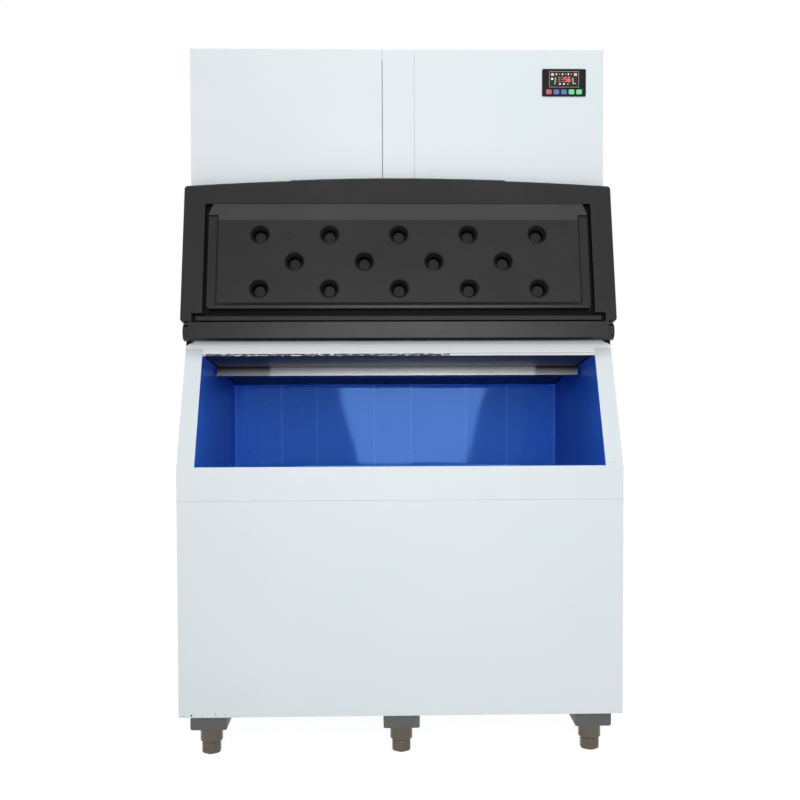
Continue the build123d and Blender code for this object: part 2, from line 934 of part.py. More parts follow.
# Machine head: welded base and posts, and the sheets hung on them
head_inner_half = half_width - inset
with BuildPart() as head_frame:
    front_y, rear_y = y_head + inset, y_back - inset
    block(-head_inner_half, head_inner_half, front_y, rear_y, tray_z, tray_z + tray_rim)
    block(
        -head_inner_half + tray_sheet, head_inner_half - tray_sheet, front_y + tray_sheet,
        rear_y - tray_sheet, tray_top, z_head_top, Mode.SUBTRACT,
    )
    rail_top = z_head_top - inset
    block(-head_inner_half, head_inner_half, front_y, rear_y, rail_top - post_width, rail_top)
    rail_half = head_inner_half - post_wall
    block(
        -rail_half, rail_half, front_y + post_wall, rear_y - post_wall,
        rail_top - post_width - 1, rail_top - post_wall, Mode.SUBTRACT,
    )
    opening_half = head_inner_half - post_width
    block(
        -opening_half, opening_half, front_y + post_width, rear_y - post_width,
        rail_top - post_width, rail_top + 1, Mode.SUBTRACT,
    )
    for side in (-1, 1):
        edge = side * head_inner_half
        for corner_y, inward in ((front_y, 1), (rear_y, -1)):
            wall_x = sorted((edge, edge - side * post_wall))
            leg_x = sorted((edge, edge - side * post_width))
            wall_y = sorted((corner_y, corner_y + inward * post_width))
            leg_y = sorted((corner_y, corner_y + inward * post_wall))
            block(*wall_x, *wall_y, tray_z, rail_top)
            block(*leg_x, *leg_y, tray_z, rail_top)
    ice_hole(tray_z - 1, tray_top + 1)

panel_z0 = z_top + fit
flange_z0 = tray_z + tray_rim + flange_foot_gap
flange_z1 = z_head_top - post_width - flange_head_gap


def front_sheet(x0, x1):
    """A front panel of the head, folded back along its two seams."""
    block(x0, x1, y_head, y_head + sheet, panel_z0, z_head_top)


with BuildPart() as head_front_left_panel:
    front_sheet(-half_width, centre_strip_left - dark_seam / 2)
    block(
        centre_strip_left - dark_seam / 2 - sheet, centre_strip_left - dark_seam / 2,
        y_head, y_head + panel_flange, flange_z0, flange_z1,
    )

with BuildPart() as head_centre_strip:
    strip_left, strip_right = centre_strip_left + dark_seam / 2, centre_strip_right - seam_gap / 2
    front_sheet(strip_left, strip_right)
    block(strip_left, strip_left + sheet, y_head, y_head + panel_flange, flange_z0, flange_z1)
    block(strip_right - sheet, strip_right, y_head, y_head + panel_flange, flange_z0, flange_z1)

control_x = half_width - control_from_right - control_width / 2
control_z = z_head_top - control_from_top - control_height / 2
body_width = control_width - 2 * control_body_inset
body_height = control_height - 2 * control_body_inset


def control_block(width, height, y0, y1, mode=Mode.ADD, x=control_x, z=control_z):
    """A box centred on the control panel, or on a given place of it."""
    block(x - width / 2, x + width / 2, y0, y1, z - height / 2, z + height / 2, mode)


with BuildPart() as head_front_right_panel:
    panel_x0 = centre_strip_right + seam_gap / 2
    front_sheet(panel_x0, half_width)
    block(panel_x0, panel_x0 + sheet, y_head, y_head + panel_flange, flange_z0, flange_z1)
    control_block(
        body_width + 2 * fit, body_height + 2 * fit, y_head - reach, y_head + reach, Mode.SUBTRACT,
    )

with BuildPart() as head_left_side_panel:
    block(-half_width, -half_width + sheet, y_head + inset, y_back, panel_z0, z_head_top - inset)

with BuildPart() as head_right_side_panel:
    block(half_width - sheet, half_width, y_head + inset, y_back, panel_z0, z_head_top - inset)
    for column in (-1, 1):
        louvre_y = (y_head + y_back) / 2 + column * louvre_column_pitch / 2
        for row in range(louvre_rows):
            louvre_z = z_top + louvre_rise + row * louvre_pitch
            block(
                half_width - reach, half_width + reach, louvre_y - louvre_length / 2,
                louvre_y + louvre_length / 2, louvre_z, louvre_z + louvre_height, Mode.SUBTRACT,
            )

fan_x = half_width - condenser_from_right - condenser_width / 2
fan_z = z_top + condenser_rise + condenser_height / 2
inlet_x, inlet_z = -half_width + inlet_from_left, z_top + inlet_rise
trough_drain_x, trough_drain_z = -half_width + trough_drain_from_left, z_top + trough_drain_rise
gland_x, gland_z = half_width - gland_from_right, z_top + gland_rise

with BuildPart() as head_back_panel:
    back_half = half_width - inset
    block(-back_half, back_half, y_back - sheet, y_back, panel_z0, z_head_top - inset)
    for x, z, radius in (
        (fan_x, fan_z, fan_opening),
        (inlet_x, inlet_z, inlet_body_radius + fit),
        (trough_drain_x, trough_drain_z, drain_pipe_radius + fit),
        (gland_x, gland_z, gland_radius + fit),
    ):
        rod((x, y_back, z), radius, 4 * sheet, "y", Mode.SUBTRACT)

with BuildPart() as head_top_panel:
    block(-half_width, half_width, y_head + inset, y_back, z_head_top - sheet, z_head_top)

screw_span = head_height - 2 * screw_row_inset
head_rows = range(head_screw_rows)
head_screws = [z_top + screw_row_inset + row * screw_span / (head_screw_rows - 1) for row in head_rows]
bin_screws = [z_floor + screw_row_inset, (z_floor + z_top) / 2, z_top - screw_row_inset]
with BuildPart() as back_panel_screws:
    screw_y = y_back + fit + screw_head / 2
    screw_x = half_width - screw_inset
    for x in (-screw_x, screw_x):
        for z in head_screws:
            rod((x, screw_y, z), screw_radius, screw_head, "y")
    for x in (-screw_x, 0, screw_x):
        for z in bin_screws:
            rod((x, screw_y, z), screw_radius, screw_head, "y")
    fillet(faces().filter_by(Axis.Y).group_by(Axis.Y)[-1].edges(), screw_round)

# Control panel
face_y = y_head - fit - control_proud
wall_back = y_head + sheet
screen_z = control_z + screen_rise
button_z = control_z - button_drop
button_places = [control_x + (index - 2) * button_pitch for index in range(5)]

with BuildPart() as control_bezel:
    control_block(control_width, control_height, face_y, y_head - fit)
    fillet(edges().filter_by(Axis.Y), bezel_round)
    control_block(body_width, body_height, y_head - fit - 1, y_head + control_body_depth)
    control_block(
        body_width - 2 * control_wall, body_height - 2 * control_wall, wall_back,
        y_head + control_body_depth + 1, Mode.SUBTRACT,
    )
    control_block(
        screen_width, screen_height, face_y - 1, face_y + lens_thickness + fit, Mode.SUBTRACT,
        z=screen_z,
    )
    control_block(
        screen_width - 2 * screen_ledge, screen_height - 2 * screen_ledge, face_y - 1,
        wall_back + 1, Mode.SUBTRACT, z=screen_z,
    )
    for x in button_places:
        control_block(
            button_width + 2 * running_gap, button_height + 2 * running_gap, face_y - 1,
            wall_back + 1, Mode.SUBTRACT, x=x, z=button_z,
        )

with BuildPart() as display_window:
    control_block(
        screen_width - 2 * fit, screen_height - 2 * fit, face_y, face_y + lens_thickness, z=screen_z,
    )

board_y = wall_back + fit + button_flange + button_travel + board_gap
with BuildPart() as control_board:
    board_width = body_width - 2 * control_wall - 2 * fit
    board_height = body_height - 2 * control_wall - 2 * fit
    control_block(board_width, board_height, board_y, board_y + board_thickness)
    for (width, height, depth), (x, z) in ((relay_size, relay_place), (chip_size, chip_place)):
        control_block(width, height, board_y + 1, board_y + depth, x=control_x + x, z=control_z + z)


def push_button(x):
    """A push button: a cap through the bezel and a flange behind it that keeps it in."""
    with BuildPart() as button:
        control_block(
            button_width, button_height, face_y - button_proud, wall_back + fit + button_flange / 2,
            x=x, z=button_z,
        )
        fillet(button.edges().filter_by(Axis.Y), button_round)
        fillet(button.faces().sort_by(Axis.Y)[0].edges(), button_edge_round)
        control_block(
            button_width + 2 * button_flange_lip, button_height + 2 * button_flange_lip,
            wall_back + fit, wall_back + fit + button_flange,
            x=x, z=button_z,
        )
    return button


button_red = push_button(button_places[0])
button_blue_inner = push_button(button_places[1])
button_blue_outer = push_button(button_places[2])
button_green_inner = push_button(button_places[3])
button_green_outer = push_button(button_places[4])

# Ice making parts, to the left of an insulated partition
partition_x = -half_width + partition_from_left
frame_left = -half_width + frame_from_left
frame_right = partition_x - evaporator_side_gap
ice_y = y_head + ice_parts_from_head_front
evaporator_z = z_top + evaporator_rise
evaporator_height = head_height - evaporator_rise - evaporator_headroom
evaporator_top = evaporator_z + evaporator_height
plates_room = frame_right - frame_left - pump_zone - 2 * (frame_plate + evaporator_side_gap)
evaporator_width = (plates_room - evaporator_gap) / 2
trough_z = z_top + trough_rise
rail_y = ice_y + evaporator_depth + fit
first_evaporator = frame_left + frame_plate + evaporator_side_gap
second_evaporator = first_evaporator + evaporator_width + evaporator_gap
hanger_middle = second_evaporator - evaporator_gap / 2
hanger_right = second_evaporator + evaporator_width + evaporator_side_gap
curtain_y = ice_y - curtain_gap
curtain_axis_z = evaporator_top + curtain_axis_rise
tube_y = ice_y + tube_from_plate
tube_z = evaporator_top + tube_rise
plate_y0, plate_y1 = curtain_y - frame_front_reach, ice_y + frame_rear_reach
top_rail_z = tube_z + hanger_plate
pipe_z = evaporator_z + pipe_rise

with BuildPart() as partition_wall:
    block(
        partition_x, partition_x + partition_wall_width, y_head + inset + post_width + fit,
        y_back - inset - post_width - fit, tray_top + fit, rail_top - post_width - fit,
    )
    hole_length = 3 * partition_wall_width
    rod((partition_x, rail_y + pipe_from_rail, pipe_z), pipe_hole_radius, hole_length, "x", Mode.SUBTRACT)

# A stainless frame that carries the plates, the curtains, the water tube and the trough
with BuildPart() as evaporator_frame:
    for x in (frame_left, frame_right - frame_plate):
        block(x, x + frame_plate, plate_y0, plate_y1, tray_top + fit, tube_z + frame_top_reach)
    for z in (evaporator_z, evaporator_top - rail_from_top - rail_height, top_rail_z):
        block(frame_left, frame_right, rail_y, rail_y + rail_depth, z, z + rail_height)
    shelf_top = trough_z - fit
    for y in (plate_y0 + shelf_from_edge, plate_y1 - shelf_from_back - rail_depth):
        block(frame_left, frame_right, y, y + rail_depth, shelf_top - shelf_height, shelf_top)
    for x in (hanger_middle - hanger_plate / 2, hanger_right):
        block(
            x, x + hanger_plate, curtain_y - hanger_margin, rail_y + hanger_plate,
            curtain_axis_z - hanger_margin, top_rail_z + rail_height,
        )
        middle_x = x + hanger_plate / 2
        rod((middle_x, tube_y, tube_z), tube_radius + fit, 3 * hanger_plate, "x", Mode.SUBTRACT)
    for x in (frame_left, hanger_middle - hanger_plate / 2, hanger_right):
        rod(
            (x + hanger_plate / 2, curtain_y, curtain_axis_z), trunnion_radius + running_gap,
            3 * hanger_plate, "x", Mode.SUBTRACT,
        )


def freezing_plate(x0):
    """A freezing plate: a grid of cube cells facing the front, with its cooling coil brazed on behind."""
    with BuildPart() as plate:
        cell_back = evaporator_depth - evaporator_back
        block(x0, x0 + evaporator_width, ice_y, ice_y + cell_back, evaporator_z, evaporator_top)
        cell_x = (evaporator_width - cell_wall) / cell_columns
        cell_z = (evaporator_height - cell_wall) / cell_rows
        with BuildSketch(Plane.XZ.offset(-ice_y)) as cells:
            with Locations((x0 + evaporator_width / 2, evaporator_z + evaporator_height / 2)):
                with GridLocations(cell_x, cell_z, cell_columns, cell_rows):
                    Rectangle(cell_x - cell_wall, cell_z - cell_wall)
        extrude(cells.sketch, amount=-(cell_back - evaporator_base), mode=Mode.SUBTRACT)
        coil_y = ice_y + evaporator_depth - coil_radius
        coil_width = evaporator_width - 2 * coil_side
        coil_height = evaporator_height - 2 * coil_margin
        for row in range(coil_rows):
            coil_z = evaporator_z + coil_margin + row * coil_height / (coil_rows - 1)
            rod((x0 + evaporator_width / 2, coil_y, coil_z), coil_radius, coil_width, "x")
        upper_rail = evaporator_top - rail_from_top - rail_height / 2
        for side in (-1, 1):
            header_x = x0 + evaporator_width / 2 + side * coil_width / 2
            rod((header_x, coil_y, (evaporator_z + evaporator_top) / 2), coil_radius, coil_height)
            for stud_z in (evaporator_z + rail_height / 2, upper_rail):
                rod((header_x, coil_y, stud_z), coil_radius, 2 * coil_radius, "y")
    return plate


evaporator_left = freezing_plate(first_evaporator)
evaporator_right = freezing_plate(second_evaporator)


def curtain(x0, x1, left_end, right_end):
    """A splash curtain that hangs in front of a freezing plate on two trunnions."""
    with BuildPart() as sheet_part:
        curtain_bottom = evaporator_z - curtain_overhang
        block(
            x0, x1, curtain_y - curtain_thickness / 2, curtain_y + curtain_thickness / 2,
            curtain_bottom, curtain_axis_z,
        )
        rod(((x0 + x1) / 2, curtain_y, curtain_axis_z), curtain_barrel, x1 - x0, "x")
        trunnion_middle = (left_end + right_end) / 2
        trunnion_length = right_end - left_end
        rod((trunnion_middle, curtain_y, curtain_axis_z), trunnion_radius, trunnion_length, "x")
    return sheet_part


curtain_left = curtain(
    frame_left + frame_plate + curtain_end_gap, hanger_middle - hanger_plate / 2 - curtain_end_gap,
    frame_left + trunnion_end_gap, hanger_middle - fit,
)
curtain_right = curtain(
    hanger_middle + hanger_plate / 2 + curtain_end_gap, hanger_right - curtain_end_gap,
    hanger_middle + fit, hanger_right + hanger_plate - trunnion_end_gap,
)

trough_y0 = plate_y0 + shelf_height
trough_y1 = trough_y0 + trough_depth
trough_x0 = frame_left + frame_plate + fit
trough_x1 = frame_right - frame_plate - fit
with BuildPart() as water_trough:
    block(trough_x0, trough_x1, trough_y0, trough_y1, trough_z, trough_z + trough_height)
    block(
        trough_x0 + trough_wall, trough_x1 - trough_wall, trough_y0 + trough_wall,
        trough_y1 - trough_wall, trough_z + trough_wall, trough_z + trough_height + 1, Mode.SUBTRACT,
    )

pump_x = frame_right - frame_plate - pump_zone / 2
pump_z = trough_z + trough_height + fit
pump_top = pump_z + pump_plate + pump_height
with BuildPart() as water_pump:
    plate_x0, plate_x1 = pump_x - pump_plate_half, pump_x + pump_plate_half
    block(plate_x0, plate_x1, trough_y0, trough_y1, pump_z, pump_z + pump_plate)
    rod((pump_x, tube_y, pump_z + pump_plate + pump_height / 2), pump_radius, pump_height)
    rod((pump_x, tube_y, pump_z + 1 - pump_stem_reach / 2), pump_stem_radius, pump_stem_reach)

# The water tube runs over both plates and comes up from the pump
with BuildPart() as water_tube:
    rod(((first_evaporator + pump_x) / 2, tube_y, tube_z), tube_radius, pump_x - first_evaporator, "x")
    riser_foot, riser_head = pump_top + fit, tube_z + hose_radius / 2
    rod((pump_x, tube_y, (riser_foot + riser_head) / 2), hose_radius, riser_head - riser_foot)
    for x0 in (first_evaporator, second_evaporator):
        with Locations((x0 + evaporator_width / 2, tube_y, tube_z - tube_radius)):
            with GridLocations(cell_wall + evaporator_width / cell_columns, 1, cell_columns - 1, 1):
                Cylinder(spray_radius, 2 * spray_depth, mode=Mode.SUBTRACT)

valve_back = y_back - inset - valve_gap
valve_front = valve_back - valve_depth
rear_y_end = y_back + rear_reach
with BuildPart() as water_inlet_valve:
    block(
        inlet_x - valve_width / 2, inlet_x + valve_width / 2, valve_front, valve_back,
        inlet_z - valve_height / 2, inlet_z + valve_height / 2,
    )
    coil_top = inlet_z + valve_height / 2 + valve_coil_height
    coil_middle = (inlet_x, (valve_front + valve_back) / 2, (inlet_z + coil_top) / 2)
    rod(coil_middle, valve_coil_radius, coil_top - inlet_z)
    rod((inlet_x, valve_back + valve_flange / 2, inlet_z), valve_flange_radius, valve_flange, "y")
    body_end = y_back + shoulder
    rod((inlet_x, (valve_back + body_end) / 2, inlet_z), inlet_body_radius, body_end - valve_back, "y")
    thread = rear_y_end - body_end
    rod((inlet_x, (body_end + rear_y_end) / 2, inlet_z), inlet_radius, thread, "y")
    rod((inlet_x, rear_y_end, inlet_z), inlet_bore, 2 * (rear_reach - shoulder), "y", Mode.SUBTRACT)

with BuildPart() as water_lines:
    fill_start = valve_front - fit
    fill_end_y = trough_y1 - fill_from_back
    pipe(
        [
            (inlet_x, fill_start, inlet_z),
            (inlet_x, fill_end_y, inlet_z),
            (inlet_x, fill_end_y, trough_z + fill_above_trough),
        ],
        fill_bend, fill_radius, fill_bore,
    )
    drain_y0 = (trough_y0 + trough_y1) / 2
    pipe(
        [
            (trough_drain_x, drain_y0, trough_z - fit),
            (trough_drain_x, drain_y0, trough_drain_z),
            (trough_drain_x, rear_y_end, trough_drain_z),
        ],
        drain_pipe_bend, drain_pipe_radius, drain_pipe_radius - drain_pipe_wall,
    )
    nipple_start = y_back + shoulder
    with BuildSketch(Plane.XZ.offset(-nipple_start)) as nipple:
        with Locations((trough_drain_x, trough_drain_z)):
            Circle(nipple_radius)
            Circle(drain_pipe_radius - drain_pipe_wall, mode=Mode.SUBTRACT)
    extrude(nipple.sketch, amount=-(rear_y_end - nipple_start))

# Refrigeration parts, to the right of the partition
compressor_x = half_width - compressor_from_right
compressor_y = y_back - compressor_from_back
mount_z = tray_top + fit
base_z = mount_z + mount_height
shell_z = base_z + base_plate

# A sealed compressor on its base plate and four rubber mounts
with BuildPart() as compressor:
    with Locations((compressor_x, compressor_y, mount_z + mount_height / 2)):
        with GridLocations(*mount_pitch, 2, 2):
            Cylinder(mount_radius, mount_height)
    block(
        compressor_x - base_width / 2, compressor_x + base_width / 2,
        compressor_y - base_depth / 2, compressor_y + base_depth / 2, base_z, shell_z,
    )
    with Locations((compressor_x, compressor_y, shell_z + compressor_height / 2 - 1)):
        Cylinder(compressor_radius, compressor_height + 2)
    fillet(edges().filter_by(GeomType.CIRCLE).sort_by(Axis.Z)[-1], compressor_round)
    terminal_z = shell_z + terminal_rise
    shell_front = compressor_y - compressor_radius
    block(
        compressor_x - terminal_width / 2, compressor_x + terminal_width / 2,
        shell_front - terminal_proud, shell_front + terminal_sunk, terminal_z, terminal_z + terminal_height,
    )

condenser_x0 = fan_x - condenser_width / 2
condenser_x1 = fan_x + condenser_width / 2
condenser_z0 = z_top + condenser_rise
condenser_z1 = condenser_z0 + condenser_height
shroud_y1 = y_back - inset
shroud_y0 = shroud_y1 - shroud_depth
condenser_y1 = shroud_y0 - fit
condenser_y0 = condenser_y1 - condenser_depth

# The fan's housing joins the condenser to the back panel
with BuildPart() as fan_shroud:
    block(condenser_x0, condenser_x1, shroud_y0, shroud_y1, condenser_z0, condenser_z1)
    block(
        condenser_x0 + shroud_sheet, condenser_x1 - shroud_sheet, shroud_y0 - 1,
        shroud_y1 - shroud_sheet, condenser_z0 + shroud_sheet, condenser_z1 - shroud_sheet,
        Mode.SUBTRACT,
    )
    rod((fan_x, shroud_y1, fan_z), fan_opening, 8 * shroud_sheet, "y", Mode.SUBTRACT)

with BuildPart() as condenser:
    for z in (condenser_z0, condenser_z1 - header_height):
        block(condenser_x0, condenser_x1, condenser_y0, condenser_y1, z, z + header_height)
    fin_pitch = (condenser_width - fin_thickness) / (fin_count - 1)
    for index in range(fin_count):
        fin_x = condenser_x0 + index * fin_pitch
        block(
            fin_x, fin_x + fin_thickness, condenser_y0, condenser_y1,
            condenser_z0 + header_height / 2, condenser_z1 - header_height / 2,
        )
    row_pitch = condenser_height / condenser_rows
    for row in range(condenser_rows):
        row_z = condenser_z0 + (row + 0.5) * row_pitch
        rod((fan_x, (condenser_y0 + condenser_y1) / 2, row_z), coil_radius, condenser_width, "x")

guard_y = y_back + fit + guard_wire
motor_y1 = guard_y - guard_wire - fit
motor_y0 = motor_y1 - motor_length
fan_y1 = motor_y0 - motor_gap
fan_y0 = fan_y1 - fan_depth

outer_ring = fan_opening + guard_overlap
guard_rings = [outer_ring - guard_ring_pitch * index for index in range(guard_ring_count)]
with BuildPart() as fan_guard:
    for ring_radius in guard_rings:
        with Locations(Location((fan_x, guard_y, fan_z), (90, 0, 0))):
            Torus(ring_radius, guard_wire)
    spoke = guard_rings[0] + guard_wire
    for index in range(spoke_count):
        turn = Location((fan_x, guard_y + guard_wire, fan_z), (0, 180 / spoke_count * index, 0))
        with Locations(turn):
            Box(2 * spoke, guard_wire, 2 * guard_wire)

with BuildPart() as fan_motor:
    rod((fan_x, (motor_y0 + motor_y1) / 2, fan_z), motor_radius, motor_length, "y")
    fillet(edges().filter_by(GeomType.CIRCLE), motor_round)
    shaft_end = fan_y0 + shaft_inset
    rod((fan_x, (shaft_end + motor_y0) / 2, fan_z), shaft_radius, motor_y0 - shaft_end, "y")

with BuildPart() as fan_blade:
    rod((fan_x, (fan_y0 + fan_y1) / 2, fan_z), hub_radius, fan_depth, "y")
    for index in range(blade_count):
        turn = Location((fan_x, (fan_y0 + fan_y1) / 2, fan_z), (0, 360 / blade_count * index, 0))
        reach_out = (hub_radius + fan_radius) / 2 - blade_sunk
        with Locations(turn * Location((reach_out, 0, 0), (blade_tilt, 0, 0))):
            Box(fan_radius - hub_radius, blade_sheet, blade_chord)
    bore_depth = fan_depth - hub_back
    rod((fan_x, fan_y1, fan_z), shaft_radius + running_gap, 2 * bore_depth, "y", Mode.SUBTRACT)

# Copper lines: hot gas to the condenser, liquid through the drier to the plates, suction back
with BuildPart() as refrigerant_lines:
    shell_top = shell_z + compressor_height + fit
    pipe_y = rail_y + pipe_from_rail
    pipe_end = frame_right + pipe_end_gap
    coil_face = condenser_y0 - fit
    hot_x = compressor_x + pipe_offset
    hot_z = condenser_z0 + hot_rise
    pipe(
        [(hot_x, compressor_y, shell_top), (hot_x, compressor_y, hot_z), (hot_x, coil_face, hot_z)],
        hot_bend, pipe_radius,
    )
    liquid_x = condenser_x0 + liquid_inset
    liquid_y = pipe_y + pipe_radius
    liquid_z = condenser_z0 + liquid_rise
    pipe(
        [
            (liquid_x, coil_face, liquid_z), (liquid_x, liquid_y, liquid_z),
            (liquid_x, liquid_y, pipe_z), (pipe_end, liquid_y, pipe_z),
        ],
        liquid_bend, liquid_radius,
    )
    rod((liquid_x, liquid_y, (liquid_z + pipe_z) / 2), drier_radius, drier_length)
    suction_x = compressor_x - pipe_offset
    suction_y = liquid_y - 2 * pipe_radius - fit
    suction_z = pipe_z - pipe_radius
    loop_z = shell_top + suction_loop
    pipe(
        [
            (suction_x, compressor_y, shell_top), (suction_x, compressor_y, loop_z),
            (suction_x, suction_y, loop_z), (suction_x, suction_y, suction_z),
            (pipe_end, suction_y, suction_z),
        ],
        suction_bend, pipe_radius,
    )

box_x1 = half_width - inset - fit
with BuildPart() as electrical_box:
    box_y0 = y_head + box_from_head_front
    box_z0 = z_top + box_rise
    block(box_x1 - box_width, box_x1, box_y0, box_y0 + box_depth, box_z0, box_z0 + box_height)
    fillet(edges().filter_by(Axis.Z), box_round)

with BuildPart() as power_gland:
    nut_y = y_back + fit
    cap_y = nut_y + gland_nut - 1
    rod((gland_x, nut_y + gland_nut / 2, gland_z), gland_nut_radius, gland_nut, "y")
    rod((gland_x, cap_y + gland_cap / 2, gland_z), gland_cap_radius, gland_cap, "y")
    rod((gland_x, y_back, gland_z), gland_radius, gland_thread, "y")
    locknut_y = y_back - inset - gland_locknut
    rod((gland_x, locknut_y + gland_locknut / 2, gland_z), gland_nut_radius - 1, gland_locknut, "y")
    rod((gland_x, y_back, gland_z), gland_bore, 4 * gland_thread, "y", Mode.SUBTRACT)

pieces = {
    "bin_front_panel": bin_front_panel,
    "bin_front_surround": bin_front_surround,
    "bin_lintel": bin_lintel,
    "bin_left_side_panel": bin_left_side_panel,
    "bin_right_side_panel": bin_right_side_panel,
    "bin_back_panel": bin_back_panel,
    "bin_base_panel": bin_base_panel,
    "bin_top_panel": bin_top_panel,
    "bin_liner": bin_liner,
    "bin_insulation": bin_insulation,
    "bin_drain_fitting": bin_drain_fitting,
    "ice_chute": ice_chute,
    "ice_deflector": ice_deflector,
    "leg_pads": leg_pads,
    "leg_sleeves": leg_sleeves,
    "foot_front_left": foot_front_left,
    "foot_front_middle": foot_front_middle,
    "foot_front_right": foot_front_right,
    "foot_rear_left": foot_rear_left,
    "foot_rear_middle": foot_rear_middle,
    "foot_rear_right": foot_rear_right,
    "lid": lid,
    "hinge_brackets": hinge_brackets,
    "head_frame": head_frame,
    "head_front_left_panel": head_front_left_panel,
    "head_centre_strip": head_centre_strip,
    "head_front_right_panel": head_front_right_panel,
    "head_left_side_panel": head_left_side_panel,
    "head_right_side_panel": head_right_side_panel,
    "head_back_panel": head_back_panel,
    "head_top_panel": head_top_panel,
    "back_panel_screws": back_panel_screws,
    "control_bezel": control_bezel,
    "display_window": display_window,
    "control_board": control_board,
    "button_red": button_red,
    "button_blue_inner": button_blue_inner,
    "button_blue_outer": button_blue_outer,
    "button_green_inner": button_green_inner,
    "button_green_outer": button_green_outer,
    "partition_wall": partition_wall,
    "evaporator_frame": evaporator_frame,
    "evaporator_left": evaporator_left,
    "evaporator_right": evaporator_right,
    "curtain_left": curtain_left,
    "curtain_right": curtain_right,
    "water_trough": water_trough,
    "water_pump": water_pump,
    "water_tube": water_tube,
    "water_inlet_valve": water_inlet_valve,
    "water_lines": water_lines,
    "compressor": compressor,
    "condenser": condenser,
    "fan_shroud": fan_shroud,
    "fan_guard": fan_guard,
    "fan_motor": fan_motor,
    "fan_blade": fan_blade,
    "refrigerant_lines": refrigerant_lines,
    "electrical_box": electrical_box,
    "power_gland": power_gland,
}
for name, piece in pieces.items():
    piece.part.label = name
    export_step(piece.part, f"parts/{name}.step")

lid_travel = 180 - slope_angle + degrees(lid_turn)
print(len(pieces), "sub-parts; lid pivot", round(pivot_y, 2), round(pivot_z, 2))
print("lid travel", round(lid_travel, 2))
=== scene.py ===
# %% [markdown]
# # A cube ice machine
# The machine has two boxes of folded sheet: a storage bin with a slanted mouth, and the machine head
# that stands on it. The CAD frame already holds every sheet, hinge and foot at its real size, so this
# lesson adds only what the eye reads afterwards: finishes, small pressed and turned details, light
# and a camera. Lengths are in metres. X runs to the right, Y to the back and Z up from the floor.

import json

import bmesh
import bpy
import numpy as np
from mathutils import Matrix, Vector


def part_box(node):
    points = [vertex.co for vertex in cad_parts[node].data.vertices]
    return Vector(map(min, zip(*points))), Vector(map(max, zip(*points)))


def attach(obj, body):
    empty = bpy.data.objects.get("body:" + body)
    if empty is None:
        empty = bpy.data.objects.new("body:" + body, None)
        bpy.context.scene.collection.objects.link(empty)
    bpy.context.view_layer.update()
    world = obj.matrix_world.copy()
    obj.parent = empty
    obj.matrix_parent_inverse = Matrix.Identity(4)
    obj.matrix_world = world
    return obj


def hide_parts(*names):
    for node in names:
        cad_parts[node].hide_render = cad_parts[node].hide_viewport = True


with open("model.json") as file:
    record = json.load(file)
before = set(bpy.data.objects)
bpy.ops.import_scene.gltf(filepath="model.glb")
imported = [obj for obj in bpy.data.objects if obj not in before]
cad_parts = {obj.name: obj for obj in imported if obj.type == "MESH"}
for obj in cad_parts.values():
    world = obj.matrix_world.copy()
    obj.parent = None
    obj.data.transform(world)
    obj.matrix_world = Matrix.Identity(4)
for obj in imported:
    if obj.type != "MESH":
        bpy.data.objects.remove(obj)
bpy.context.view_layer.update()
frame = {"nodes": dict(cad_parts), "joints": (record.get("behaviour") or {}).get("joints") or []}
nodes = frame["nodes"]
joints = {joint["name"]: joint for joint in frame["joints"]}
MM = 0.001

# %% [markdown]
# ## The camera
# The machine is seen from a tripod at chest height, a little left of its middle. The camera is given
# as a place and three small turns. Its axes are worked out as vectors and written as the columns of
# its matrix, which avoids any doubt about the order of Euler angles.

# %% Camera
CAMERA_PLACE = np.array([-0.0622, -3.1124, 1.0652])
CAMERA_YAW, CAMERA_PITCH, CAMERA_ROLL = 0.0224, -0.0308, -0.0032
LENS_MM, SENSOR_MM = 44.49, 36.0


def camera_axes(yaw, pitch, roll):
    """Right, up and forward: level axes turned about Z by yaw, then raised by pitch, then rolled."""
    level_forward = np.array([np.sin(yaw), np.cos(yaw), 0.0])
    level_right = np.array([np.cos(yaw), -np.sin(yaw), 0.0])
    level_up = np.array([0.0, 0.0, 1.0])
    forward = level_forward * np.cos(pitch) + level_up * np.sin(pitch)
    up = level_up * np.cos(pitch) - level_forward * np.sin(pitch)
    right = level_right * np.cos(roll) + up * np.sin(roll)
    return right, up * np.cos(roll) - level_right * np.sin(roll), forward


right, up, forward = camera_axes(CAMERA_YAW, CAMERA_PITCH, CAMERA_ROLL)
camera = bpy.data.objects.new("camera", bpy.data.cameras.new("camera"))
camera.data.lens, camera.data.sensor_width = LENS_MM, SENSOR_MM
bpy.context.scene.collection.objects.link(camera)
placed = np.eye(4)
placed[:3, 0], placed[:3, 1], placed[:3, 2], placed[:3, 3] = right, up, -forward, CAMERA_PLACE
camera.matrix_world = Matrix(placed.tolist())
bpy.context.scene.camera = camera
print("camera", CAMERA_PLACE, "looking along", forward.round(3))

# %% [markdown]
# ## Arithmetic on sockets
# A procedural material is arithmetic: a mask is a noise minus a threshold, times a slope. Written as
# nodes this takes a page, so one small class wraps an output socket and turns Python's operators into
# Math nodes. A second class holds one material and adds any other node with a single method.


